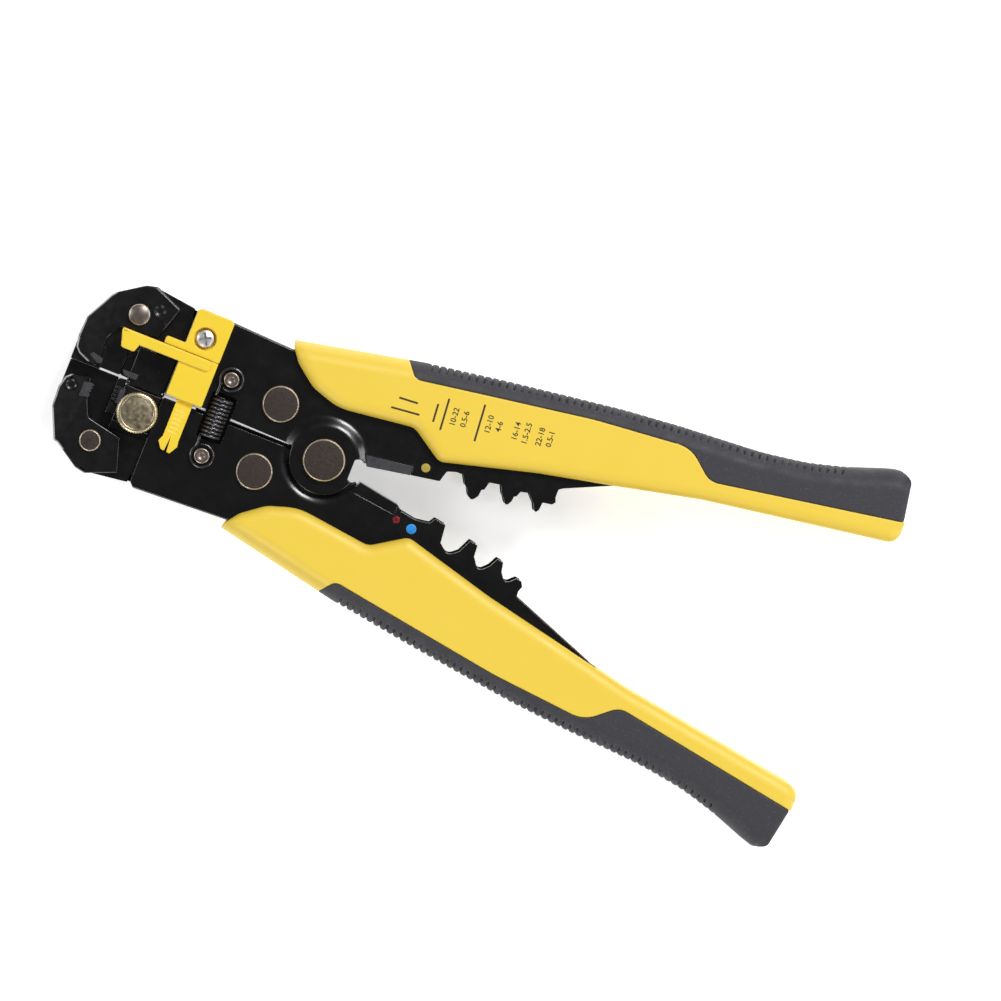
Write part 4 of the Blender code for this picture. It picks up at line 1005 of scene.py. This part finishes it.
# ---- grips --------------------------------------------------------------------------------------
@dataclass
class Grip:
    """One handle: the yellow body and the ribbed grey inlay, moulded over the lever's tang."""

    side: Side
    inner_edge: tuple[float, float] = (3.0, 2.2)
    outer_edge: tuple[float, float] = (4.2, 5.0)
    rear_edge: tuple[float, float] = (1.6, 1.6)
    crease: float = 0.55
    seam: float = 0.3
    seam_gap: float = 0.1
    rib_pitch: float = 1.9
    rib_depth: float = 0.7
    rib_start: float = 4.2
    rib_end: float = 113.0
    rib_reach: float = 2.1
    back_end: float = 134.5

    def __post_init__(self) -> None:
        """Round the handle's lines once."""
        self.inner = rounded(GRIP_INNER, closed=False, step=4)[:-1]
        self.outer = rounded(GRIP_OUTER + GRIP_REAR, closed=False, step=4)
        self.boundary = rounded(BOUNDARY, closed=False, step=4)
        self.back = self.outer[self.outer[:, 0] < self.back_end]
        self.rear = np.array([(136.9, 47.0), GRIP_REAR[-1], BOUNDARY[-1], (138.8, 36.0)])

    def height(self, points: Points) -> np.ndarray:
        """Half thickness of the handle at (x, y).

        From the flat face it falls along an elliptical quarter towards each edge, as deep as the edge's drop,
        over the edge's reach. The outer edge falls a little more, evenly, so that a crease shows.
        """
        height = np.full(len(points), GRIP_HALF)
        for line, (reach, drop), extra in ((self.inner, self.inner_edge, 0.0),
                                           (self.back, self.outer_edge, self.crease),
                                           (self.rear, self.rear_edge, 0.0)):
            away = 1 - np.clip(distance(points, line) / reach, 0, 1)
            height -= drop * (1 - np.sqrt(1 - away**2)) + extra * away
        return height

    def sheet(self, first: Points, last: Points, columns: np.ndarray, rows: int, seam: Points,
              ribs: bool) -> Surface:
        """A closed handle part between two lines.

        Its face is a grid: each column runs at one x from the first line to the last, closer together at both
        ends by a cosine. The underside is its mirror image, and a wall joins the two.

        Args:
            first: The line where the columns start.
            last: The line where they end.
            columns: The x of each column.
            rows: Points in a column.
            seam: The line between yellow and grey, where the edge has a fine rounding.
            ribs: Whether the last line's edge is ribbed.

        Returns:
            The closed surface.
        """
        share = (1 - np.cos(np.linspace(0, math.pi, rows))) / 2
        low, high = (np.interp(columns, line[:, 0], line[:, 1]) for line in (first, last))
        y = low[:, None] + (high - low)[:, None] * share
        x = columns[:, None] + np.zeros(rows)
        plan = np.column_stack((x.ravel(), y.ravel()))
        z = self.height(plan)
        away = 1 - np.clip(distance(plan, seam) / self.seam, 0, 1)
        z -= self.seam * (1 - np.sqrt(1 - away**2))
        face = np.column_stack((plan, z)).reshape(len(columns), rows, 3)
        if ribs:
            face = self.ribbed(face)
        ring = np.concatenate((face[:, 0], face[-1, 1:], face[-2::-1, -1], face[0, -2:0:-1]))
        levels = np.linspace(1, -1, 7)[:, None, None] * np.array((0, 0, 1.0)) + np.array((1.0, 1.0, 0))
        wall = ring[None] * levels
        under = face * np.array((1, 1, -1.0))
        faces = grid_faces(len(columns), rows)
        return joined([Surface(face.reshape(-1, 3), faces), Surface(under.reshape(-1, 3), faces[:, ::-1]),
                       Surface(wall.reshape(-1, 3), grid_faces(7, len(ring), False, True))])

    def ribbed(self, face: Points) -> Points:
        """Press grooves into the outer edge.

        The groove's depth is a raised cosine of the distance along the edge, to the fourth power, and fades
        out over the rib's reach from the edge. It is taken along the edge's own normal, which turns from
        outwards at the wall to upwards at the crease.
        """
        edge = face[:, -1, :2]
        run = travelled(edge)
        ends = np.clip((run - self.rib_start) / 2, 0, 1) * np.clip((self.rib_end - run) / 2, 0, 1)
        groove = ends * ((1 + np.cos(math.tau * run / self.rib_pitch)) / 2) ** 4
        along = np.gradient(edge, axis=0)
        along /= np.hypot(*along.T)[:, None]
        outward = np.column_stack((-along[:, 1], along[:, 0], 0 * run))
        away = np.hypot(*np.moveaxis(face[..., :2] - edge[:, None], -1, 0))
        reach = self.outer_edge[0]
        turn = np.arccos(1 - np.clip(away / reach, 0, 1))
        normal = (np.cos(turn)[..., None] * outward[:, None] / reach
                  + np.sin(turn)[..., None] * np.array((0, 0, 1.0)) / self.outer_edge[1])
        normal /= np.linalg.norm(normal, axis=2)[..., None]
        fade = np.clip((self.rib_reach - away) / 0.7, 0, 1)
        return face - normal * (self.rib_depth * groove[:, None] * fade)[..., None]

    def build(self) -> None:
        """Make the yellow body and the grey inlay, and dress them."""
        body, title = f"{self.side.title}_lever", self.side.title
        pocket = slab(np.array(self.side.pick(POCKET, LOWER_POCKET)), -POCKET_HALF, POCKET_HALF, 0.02)
        front = self.outer[self.outer[:, 0] < BOUNDARY_FRONT[0] + 0.01]
        edge = np.vstack((front, self.boundary[1:]))
        inlay_edge = self.boundary + np.array((0, self.seam_gap))
        stops = np.concatenate([resampled(line, 0.45)[:, 0] for line in (self.inner, edge)])
        stops = np.unique(np.round(np.clip(stops, GRIP_TIP[0], self.inner[-1, 0]) / 0.12)) * 0.12
        stops = np.unique(np.clip(stops, GRIP_TIP[0], self.inner[-1, 0]))
        yellow = self.sheet(self.inner, edge, stops, 34, self.boundary, False)
        marks = resampled(self.outer, 0.24)[:, 0]
        ribs = marks[marks > BOUNDARY_FRONT[0] + 0.15]
        grey = self.sheet(inlay_edge, self.outer, ribs, 26, inlay_edge, True)
        for name, surface, finish, node in (("grip_moulding", yellow, GRIP_YELLOW, "grip_body"),
                                            ("grip_ribbed_inlay", grey, GRIP_GREY, "grip_inlay")):
            item = combined(solid(f"{title}_{name}", surface), pocket, "DIFFERENCE")
            if self.side is Side.LOWER:
                flip_y(item)
            dress(item, body, finish, [f"{title}_{node}"])


def flip_y(item: bpy.types.Object) -> None:
    """Turn a piece into its mirror image across the tool axis, with its faces still outwards."""
    points = coordinates(item.data)
    points[:, 1] = 2 * PIVOT[1] - points[:, 1]
    item.data.vertices.foreach_set("co", points.ravel())
    item.data.flip_normals()
    item.data.update()


@dataclass
class SizePrint:
    """The wire sizes printed on the upper handle, and plain rules where the handle has captions."""

    size: float = 2.0
    thickness: float = 0.012
    turn: float = 95.0
    weight: float = 0.03
    rule_width: float = 0.5
    sizes: tuple[tuple[str, float, float], ...] = (
        ("10-22", 25.9, 21.7), ("0.5-6", 28.5, 22.1), ("12-10", 34.5, 23.1), ("4-6", 37.0, 23.5),
        ("16-14", 41.3, 24.0), ("1.5-2.5", 43.9, 24.4), ("22-18", 47.3, 24.9), ("0.5-1", 49.8, 25.3),
    )
    rules: tuple[tuple[float, float, float, float], ...] = (
        (13.9, 21.3, 4.8, 4.0), (14.1, 18.6, 7.2, 6.0), (21.2, 20.9, 4.6, 95.0),
        (23.4, 21.4, 8.0, 95.0), (32.2, 22.6, 9.4, 95.0),
    )

    def build(self) -> None:
        """Set the figures as thin raised ink and dress them."""
        parts = [self.text(*row) for row in self.sizes] + [self.rule(*row) for row in self.rules]
        dress(solid("upper_grip_size_print", joined(parts), 30), "upper_lever", PRINT)

    def text(self, figures: str, x: float, y: float) -> Surface:
        """One size, its line of figures along +y and its middle at (x, y)."""
        curve = bpy.data.curves.new("figures", "FONT")
        curve.body = figures
        curve.size = self.size
        curve.align_x, curve.align_y = "CENTER", "CENTER"
        curve.resolution_u = 3
        curve.offset = self.weight
        item = added("figures", curve)
        mesh = evaluated(item)
        shape = bmesh.new()
        shape.from_mesh(mesh)
        bmesh.ops.remove_doubles(shape, verts=shape.verts, dist=1e-4)
        bmesh.ops.triangulate(shape, faces=shape.faces)
        sides = bmesh.ops.extrude_face_region(shape, geom=shape.faces[:])["geom"]
        moved = [part for part in sides if isinstance(part, bmesh.types.BMVert)]
        bmesh.ops.translate(shape, verts=moved, vec=(0, 0, self.thickness))
        bmesh.ops.triangulate(shape, faces=shape.faces)
        shape.to_mesh(mesh)
        shape.free()
        points = coordinates(mesh)
        corners = np.empty(len(mesh.loops), np.int32)
        mesh.loops.foreach_get("vertex_index", corners)
        plan = swung(points[:, :2], math.radians(self.turn), (x, y))
        placed = np.column_stack((plan, GRIP_HALF + points[:, 2]))
        bpy.data.objects.remove(item, do_unlink=True)
        return Surface(placed, np.zeros((0, 4), int), corners.reshape(-1, 3))

    def rule(self, x: float, y: float, length: float, turn: float) -> Surface:
        """A thin printed bar of a length, turned by some degrees, with its middle at (x, y)."""
        half = np.array((length / 2, self.rule_width / 2))
        corners = half * np.array([(-1, -1), (1, -1), (1, 1), (-1, 1)])
        outline = swung(corners, math.radians(turn), (x, y))
        return slab(outline, GRIP_HALF - 0.02, GRIP_HALF + self.thickness, 0.01, steps=1)


# ---- head: guide, blocks, sled, arms, jaws and blades --------------------------------------------
@dataclass
class JawCarrier:
    """The steel guide in the middle, the spacer rings on the main rivet and the two wire blocks."""

    body: str = "jaw_carrier"

    def build(self) -> None:
        """Make the carrier's pieces and dress them."""
        bore = circle((0, 0), 3.5, 48)
        start = math.degrees(math.asin(2.2 / 6.0))
        neck = arc(6.0, 180 + start, 540 - start, 56)
        head = [(-24.7, 2.2), (-24.7, 7.8, 0.8), (-34.0, 7.8, 0.8), (-34.0, -7.8, 0.8), (-24.7, -7.8, 0.8),
                (-24.7, -2.2)]
        outline = rounded([*head, *(tuple(point) for point in neck)])
        guide = slab(outline, -GUIDE_HALF, GUIDE_HALF, 0.15, holes=[bore])
        dress(solid("centre_guide_plate", guide), self.body, CAST_BLACK, ["centre_guide"])
        ring = [(3.5, 1.5), (5.8, 1.5), (6.0, 1.7), (6.0, 5.2), (5.8, 5.4), (3.5, 5.4)]
        for face in Face:
            item = solid(f"pivot_spacer_{face.title}_turned", turned(ring, ring=True).on(face))
            dress(item, self.body, BRIGHT, [f"pivot_spacer_{face.title}"])
        for side in Side:
            self.block(side)

    def block(self, side: Side) -> None:
        """Make one wire block: a body with a channel for the wire, and two tails that hold the guide.

        Args:
            side: The half that it belongs to.
        """
        node = f"{side.title}_strip_block"
        low, high = side.pick((-0.4, 9.5), (-10.2, -0.5))
        core_low, core_high = side.pick((2.5, high), (low, -3.4))
        front = [(-52.3, low, 0.3), (-42.4, low, 0.3), (-42.4, high, 0.6), (-52.3, high, 0.6)]
        core = [(-52.2, core_low), (-42.5, core_low), (-42.5, core_high), (-52.2, core_high)]
        parts = [slab(rounded(core), -3.2, 3.2, 0.1)]
        cheek = slab(refined(rounded(front), 1.0), 3.0, STRIP_HALF, 0.35, 0.1)
        parts += [cheek.on(face) for face in Face]
        if side is Side.LOWER:
            skirt = [(-52.2, -12.3, 0.3), (-42.5, -12.3, 0.3), (-42.5, -10.0), (-52.2, -10.0)]
            parts.append(slab(rounded(skirt), -3.75, 3.75, 0.15))
        tail = [(-43.0, 2.8), (-26.4, 2.8, 0.8), (-26.4, 7.8, 2.0), (-43.0, 7.8)]
        leg = slab(rounded(side.mirror(tail)), 1.5, 3.7, 0.2)
        parts += [leg.on(face) for face in Face]
        dress(solid(f"{node}_moulded", joined(parts)), self.body, CAST_BLACK, [node])
        node = f"{side.title}_strip_pin"
        reach = half_height(node)
        share = 5.0 / 5.2
        upper = [(1.5, reach * share), (1.3, reach), (0, reach)]
        pin = [(r, -z) for r, z in upper[::-1]] + upper
        dress(solid(f"{node}_turned", turned(pin, (-30, side.value * 5.2), 32)), self.body, BRIGHT, [node])


@dataclass
class Sled:
    """The block that the crossed levers drive back and forth, with its two pins."""

    body: str = "sled"

    def build(self) -> None:
        """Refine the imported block's own shape and turn its pins."""
        dress(softened("grip_sled", 0.3), self.body, CAST_BLACK, ["grip_sled"])
        for side in Side:
            node = f"{side.title}_sled_pin"
            reach = half_height(node)
            upper = [(1.3, reach - 0.2), (1.1, reach), (0, reach)]
            surface = turned([(r, -z) for r, z in upper[::-1]] + upper, (-12, side.value * 4.2), 32)
            dress(solid(f"{node}_turned", surface), self.body, BRIGHT, [node])


def softened(node: str, width: float) -> bpy.types.Object:
    """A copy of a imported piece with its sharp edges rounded.

    Args:
        node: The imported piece.
        width: Width of the rounding in millimetres.

    Returns:
        The copy.
    """
    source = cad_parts[node]
    mesh = source.data.copy()
    mesh.transform(source.matrix_world)
    item = added(f"{node}_softened", mesh)
    shape = bmesh.new()
    shape.from_mesh(mesh)
    bmesh.ops.remove_doubles(shape, verts=shape.verts, dist=1e-6)
    bmesh.ops.dissolve_limit(shape, angle_limit=math.radians(1), verts=shape.verts, edges=shape.edges)
    shape.to_mesh(mesh)
    shape.free()
    bevel = item.modifiers.new("rounding", "BEVEL")
    bevel.width = width * MM
    bevel.segments = 1
    bevel.limit_method = "ANGLE"
    bevel.angle_limit = math.radians(35)
    item.data = evaluated(item)
    item.modifiers.clear()
    set_shading(item.data, 24)
    return item


@dataclass
class Jaw:
    """One gripping jaw: the pressed arm, the cast nose on its end and the toothed insert."""

    side: Side
    facet_drop: float = 1.0
    facet_reach: float = 5.2

    @property
    def crease(self) -> Points:
        """The line beyond which the nose's side slopes down to its front edge."""
        return resampled(rounded(self.side.pick(UPPER_CREASE, LOWER_CREASE), closed=False), 0.8)

    def facet(self, points: Points) -> np.ndarray:
        """How far the nose's side falls beyond the crease: in proportion to the distance past it."""
        line = self.crease
        along = np.interp(points[:, 1] * self.side.value, line[:, 1] * self.side.value, line[:, 0])
        past = np.clip(along - points[:, 0], 0, None)
        return -self.facet_drop * past / self.facet_reach

    def build(self) -> None:
        """Make the arm, the nose and the teeth and dress them."""
        title, body = self.side.title, f"{self.side.title}_jaw"
        dress(softened(f"{title}_grip_arm", 0.25), body, CAST_BLACK, [f"{title}_grip_arm"])
        outline = refined(rounded(self.side.pick(UPPER_NOSE, LOWER_NOSE)), 0.6)
        shifts = [self.crease + np.array((shift, 0)) for shift in (-0.12, 0.0, 0.12)]
        grid = np.meshgrid(np.arange(-67.0, -45.0, 0.9), np.arange(-25, 25, 0.9))
        seeds = np.vstack((*shifts, np.column_stack([axis.ravel() for axis in grid])))
        rivet = circle(self.side.mirror([NOSE_RIVET])[0], 1.5, 32)
        centre, radius, count = self.side.pick((UPPER_DIMPLE, 1.1, 28), (LOWER_DIMPLE, 0.7, 24))
        dimple = circle(centre, radius, count)
        cheek = slab(outline, CHEEK_IN, PLATE_OUT, 0.45, 0.15, [rivet, dimple], seeds, self.facet)
        floor = turned([(0, 6.9), (1.3, 6.9), (1.3, 8.2), (1.0, 8.02), (0.5, 7.95), (0, 7.95)], centre, 28)
        parts = [cheek.on(face) for face in Face] + [floor.on(face) for face in Face]
        parts.append(slab(self.front(outline), -CHEEK_IN - 0.3, CHEEK_IN + 0.3, 0.2))
        nose = solid(f"{title}_nose_casting", joined(parts + self.gripping_faces()))
        # The nose's front edges carry a painted highlight.
        dress(nose, body, CAST_PAINTED_FRONT_HIGHLIGHT, [f"{title}_nose_jaw"], self.worn)
        tooth = slab(rounded(self.side.pick(UPPER_TEETH, LOWER_TEETH)), 3.2, PLATE_OUT + 0.03, 0.06)
        insert = solid(f"{title}_tooth_insert", joined([tooth.on(face) for face in Face]))
        dress(insert, body, GROUND, [f"{title}_grip_teeth"])

    def worn(self, points: Points) -> np.ndarray:
        """Where a highlight is painted: grey along the cheeks' front edges."""
        front = np.array([corner[:2] for corner in self.side.pick(UPPER_NOSE, LOWER_NOSE)[1:9]])
        x, y, z = points.T
        near = distance(points[:, :2], front) < 0.3
        return near & (np.abs(z) > 7.0) & (x < -60.5) & (self.side.value * y > 0)

    def gripping_faces(self) -> list[Surface]:
        """The plates inside the nose that hold the wire: outer ones above, a middle one below."""
        if self.side is Side.UPPER:
            outline = [(-60.8, 0.95), (-54.45, 0.95, 0.2), (-54.45, 8.05), (-52.4, 8.05), (-52.4, 12.6),
                       (-60.8, 12.6)]
            lip = [(-67.1, 6.0), (-67.1, 0.45, 0.3), (-59.6, 0.45, 0.2), (-59.6, 6.0)]
            plates = [slab(rounded(outline), 3.2, 5.9, 0.12), slab(rounded(lip), 3.0, 6.2, 0.12)]
            return [plate.on(face) for face in Face for plate in plates]
        outline = [(-67.1, -6.0), (-60.8, -12.6), (-52.28, -12.6), (-52.28, -8.75), (-54.45, -8.75),
                   (-54.45, 0.3, 0.2), (-67.1, 0.3, 0.3)]
        return [slab(rounded(outline), -2.8, 2.8, 0.12)]

    def front(self, outline: Points) -> Points:
        """The nose's outline in front of the arm, drawn in a little: there it is solid right across."""
        inner = oriented(outline, 1)
        inner = inner - 0.12 * mitres(inner)
        inner = inner[inner[:, 0] < -59.7]
        clear = self.side.pick(3.8, 3.0)
        inner[:, 1] = self.side.value * np.maximum(self.side.value * inner[:, 1], clear)
        return rounded([tuple(point) for point in inner])


@dataclass
class StripBlades:
    """One half of the stripping blades: thin blades with gaps that the other half's blades pass through."""

    side: Side
    pitch: float = 1.1

    def build(self) -> None:
        """Make the blade pack and dress it."""
        title, sign = self.side.title, self.side.value
        body, node = f"{title}_blades", f"{title}_blade_pack"
        edge, back = self.side.pick((0.95, 7.9), (0.3, -8.6))
        tip = [(-52.4, edge), (-54.1, edge + sign * 0.1), (-54.3, edge + sign * 0.4), (-54.3, back),
               (-52.4, back)]
        start = self.side.pick(0.5 * self.pitch, 0.0) - 5.8
        layers = np.arange(start, min(half_height(node), 5.9) - 0.4, self.pitch)
        parts = [slab(rounded(tip), low, low + 0.45 * self.pitch, 0.05, steps=1) for low in layers]
        shank = [(-54.2, sign * 5.9), (-53.4, sign * 5.9), (-53.4, back), (-54.2, back)]
        parts.append(slab(rounded(shank), -6.3, 6.3, 0.05))
        parts += [slab(rounded(shank), 5.5, 6.35, 0.05).on(face) for face in Face]
        dress(solid(f"{title}_blade_tips", self.tips()), body, GROUND, [node])
        dress(solid(f"{title}_blade_stack", joined(parts)), body, CAST_BLACK, [node])

    def tips(self) -> Surface:
        """The bare end plates over the stack: a bevelled tongue above, a comb with four teeth below."""
        if self.side is Side.UPPER:
            outline = [(-54.2, 2.6), (-53.3, 1.4), (-50.2, 1.2, 0.2), (-50.0, 2.7, 0.2)]
        else:
            gaps = [[(-54.2, y, 0.1), (-54.1, y - 0.45, 0.1), (-52.9, y - 0.5), (-52.9, y - 0.95)]
                    for y in (-1.8, -2.8, -3.8, -4.8)]
            outline = [(-51.6, -1.7, 0.2), *sum(gaps, []), (-51.6, -5.7, 0.2)]
        plate = slab(oriented(rounded(outline), 1), 6.1, 6.7, 0.06)
        return joined([plate.on(face) for face in Face])


# ---- stop and knob --------------------------------------------------------------------------------
@dataclass
class LengthStop:
    """The yellow wire stop: the bracket, its screw and the slider with hook, block and stem."""

    seat: float = 9.6
    slider_low: float = 9.9
    slider_top: float = 11.9
    screw_turn: float = 0.5

    def build(self) -> None:
        """Make the stop's pieces and dress them."""
        recess = circle(STOP_SCREW, 2.75, 64)
        through = circle(STOP_SCREW, 1.45, 48)
        outline = rounded(STOP_BRACKET)
        upper = slab(outline, self.seat - 0.3, STOP_TOP, 0.3, 0.02, [recess])
        lower = slab(outline, STOP_LOW, self.seat - 0.29, 0.02, 0.15, [through])
        bracket = solid("stop_bracket_moulded", joined([upper, lower]))
        dress(bracket, "upper_lever", STOP_YELLOW, ["stop_bracket"])
        self.screw()
        bar = slab(refined(rounded(STOP_BAR), 1.5), self.slider_low, self.slider_top, 0.45, 0.2)
        block = slab(rounded(STOP_BLOCK), STOP_LOW, STOP_TOP, 0.35, 0.15)
        grid = np.meshgrid(np.arange(-38.9, -34.9, 0.3), np.arange(-8.9, -1.0, 0.12))
        seeds = np.column_stack([axis.ravel() for axis in grid])
        stem = slab(refined(rounded(STOP_STEM), 0.2), STOP_LOW + 0.02, 9.8, 0.1, 0.06, (), seeds, self.ribs)
        slider = solid("wire_stop_moulded", joined([bar, block, stem]))
        dress(slider, "stop_slider", STOP_YELLOW, ["wire_stop"])

    @staticmethod
    def ribs(points: Points) -> np.ndarray:
        """Cross ribs on the stem: the top dips by a raised cosine of y, fading out at the stem's edges."""
        x, y = points.T
        within = np.clip((y + 8.1) / 0.3, 0, 1) * np.clip((-0.6 - y) / 0.3, 0, 1)
        across = np.clip((x + 38.3) / 0.2, 0, 1) * np.clip((-35.8 - x) / 0.2, 0, 1)
        return -0.2 * within * across * ((1 - np.cos(math.tau * y / 1.1)) / 2) ** 3

    def screw(self) -> None:
        """Turn the bracket's pan head screw and cut its cross recess."""
        bottom, top = heights("stop_screw")
        crown = [(2.1 * s, top - 0.45 * s**2) for s in np.linspace(1, 0, 8)]
        profile = [(0, bottom), (1.1, bottom), (1.2, bottom + 0.1), (1.2, self.seat), (2.15, self.seat),
                   (2.2, self.seat + 0.05), *crown]
        item = solid("stop_screw_turned", turned(profile, STOP_SCREW, 64))
        wing = np.array([(-1.55, -0.3), (-0.45, -0.35), (-0.35, -0.45), (-0.3, -1.55)])
        quarters = [swung(wing, quarter * math.pi / 2, (0, 0)) for quarter in range(4)]
        cross = swung(np.vstack(quarters), self.screw_turn, STOP_SCREW)
        combined(item, slab(cross, top - 0.85, top + 1.0, 0.01, steps=1), "DIFFERENCE")
        dress(item, "upper_lever", BRIGHT, ["stop_screw"])


@dataclass
class TensionKnob:
    """The small brass knob that sets the grip pressure."""

    centre: Corner = (-46.9, -6.0)
    radius: float = 5.2
    knurls: int = 48

    def build(self) -> None:
        """Turn the knob with a finely knurled rim and dress it."""
        bottom, top = heights("tension_knob")
        r = self.radius
        profile = [(0, bottom), (1.4, bottom), (1.5, bottom + 0.1), (1.5, 8.6), (2.4, 8.7), (2.4, 10.0),
                   (r - 0.25, 10.1), (r - 0.05, 10.3), (r - 0.05, top - 0.55), (r - 0.35, top - 0.2),
                   (r - 0.6, top - 0.03), (r - 0.95, top - 0.02), (r - 1.05, top - 0.14),
                   (r - 1.2, top - 0.2), (r - 1.5, top - 0.2), (r - 1.7, top - 0.14), (1.2, top - 0.12),
                   (0.6, top - 0.1), (0, top - 0.04)]
        surface = turned(profile, self.centre, self.knurls * 6, knurl=self.knurl)
        item = solid("tension_knob_turned", surface, 50)
        dress(item, "knob", BRASS, ["tension_knob"],
              lambda points: off_axis(points, self.centre) > r - 0.95)

    def knurl(self, radius: np.ndarray, turn: np.ndarray) -> np.ndarray:
        """Length to add to the rim's radius: a rounded tooth for each knurl."""
        return np.where(radius > self.radius - 0.3, -0.09 * (1 + np.cos(self.knurls * turn)), 0.0)


# ---- picture ----------------------------------------------------------------------------------------
@dataclass
class Picture:
    """The pale table top, the soft lights and the camera above the tool."""

    target: tuple[float, float, float] = (0.0083, 0.0067, 0.0199)
    roll: float = 21.6
    tilt: tuple[float, float, float] = (-0.0385, 0.0166, 0.9991)
    width: float = 0.2463
    lens: float = 250.0
    table_glow: float = 0.55
    sensor: float = 36.0
    world_glow: float = 0.1
    light_size: float = 0.4
    floor_half: float = 3.0
    floor_drop: float = 0.0003
    lights: tuple[tuple[str, float, float, float, float], ...] = (
        ("key", 0.5, 0.75, 1.0, 12.0), ("left", -1.0, 0.3, 0.75, 3.6), ("low_left", -0.55, -0.85, 0.7, 4.6),
        ("low_right", 0.7, -0.75, 0.8, 3.4), ("right", 1.0, 0.1, 0.7, 2.8),
    )

    def build(self) -> None:
        """Make the stage, the lights and the camera."""
        self.floor()
        up = math.radians(90 + self.roll)
        right = Vector((math.cos(math.radians(self.roll)), math.sin(math.radians(self.roll)), 0))
        above = Vector((math.cos(up), math.sin(up), 0))
        target = Vector(self.target)
        for name, across, upward, height, power in self.lights:
            self.area(name, target + right * across + above * upward + Vector((0, 0, height)), power)
        world = bpy.data.worlds.new("studio")
        world.use_nodes = True
        sky = world.node_tree.nodes["Background"]
        sky.inputs["Color"].default_value = (1.0, 1.0, 1.0, 1.0)
        sky.inputs["Strength"].default_value = self.world_glow
        bpy.context.scene.world = world
        bpy.context.scene.view_settings.view_transform = "Standard"
        self.camera(target, above)

    def floor(self) -> None:
        """A wide white light table under the tool."""
        mesh = bpy.data.meshes.new("floor")
        half, z = self.floor_half, -self.floor_drop
        corners = [(-half, -half, z), (half, -half, z), (half, half, z), (-half, half, z)]
        mesh.from_pydata(corners, [], [(0, 1, 2, 3)])
        item = added("floor", mesh)
        finish = bpy.data.materials.new("floor")
        finish.use_nodes = True
        shader = finish.node_tree.nodes["Principled BSDF"]
        shader.inputs["Base Color"].default_value = (0.92, 0.92, 0.92, 1)
        shader.inputs["Roughness"].default_value = 0.8
        shader.inputs["Emission Color"].default_value = (1, 1, 1, 1)
        shader.inputs["Emission Strength"].default_value = self.table_glow
        mesh.materials.append(finish)

    def area(self, name: str, place: Vector, power: float) -> None:
        """A square soft light at a place, turned to the tool.

        Args:
            name: The light's name.
            place: Where it is.
            power: Its power in watts.
        """
        data = bpy.data.lights.new(name, "AREA")
        data.energy = power
        data.size = self.light_size
        item = added(name, data)
        item.location = place
        item.rotation_euler = (Vector(self.target) - place).to_track_quat("-Z", "Y").to_euler()

    def camera(self, target: Vector, above: Vector) -> None:
        """The camera, at the distance where the picture is as wide as it has to be at the target.

        Args:
            target: The point in the middle of the picture.
            above: The level direction that is up in the picture.
        """
        data = bpy.data.cameras.new("camera")
        data.lens = self.lens
        data.sensor_width = self.sensor
        data.clip_end = 20.0
        item = added("camera", data)
        back = Vector(self.tilt).normalized()
        item.location = target + back * (self.width * self.lens / self.sensor)
        side = above.cross(back).normalized()
        item.rotation_euler = Matrix((side, back.cross(side), back)).transposed().to_euler()
        bpy.context.scene.camera = item


def main() -> None:
    """Make every piece, dress it and set up the picture."""
    logging.basicConfig(level=logging.INFO, format="%(message)s")
    for side in Side:
        LeverFrame(side).build()
        Grip(side).build()
        Jaw(side).build()
        StripBlades(side).build()
    Rivets().build()
    for face in Face:
        ReturnSpring(face).build()
    JawCarrier().build()
    Sled().build()
    LengthStop().build()
    TensionKnob().build()
    SizePrint().build()
    Picture().build()


if __name__ == "__main__":
    main()
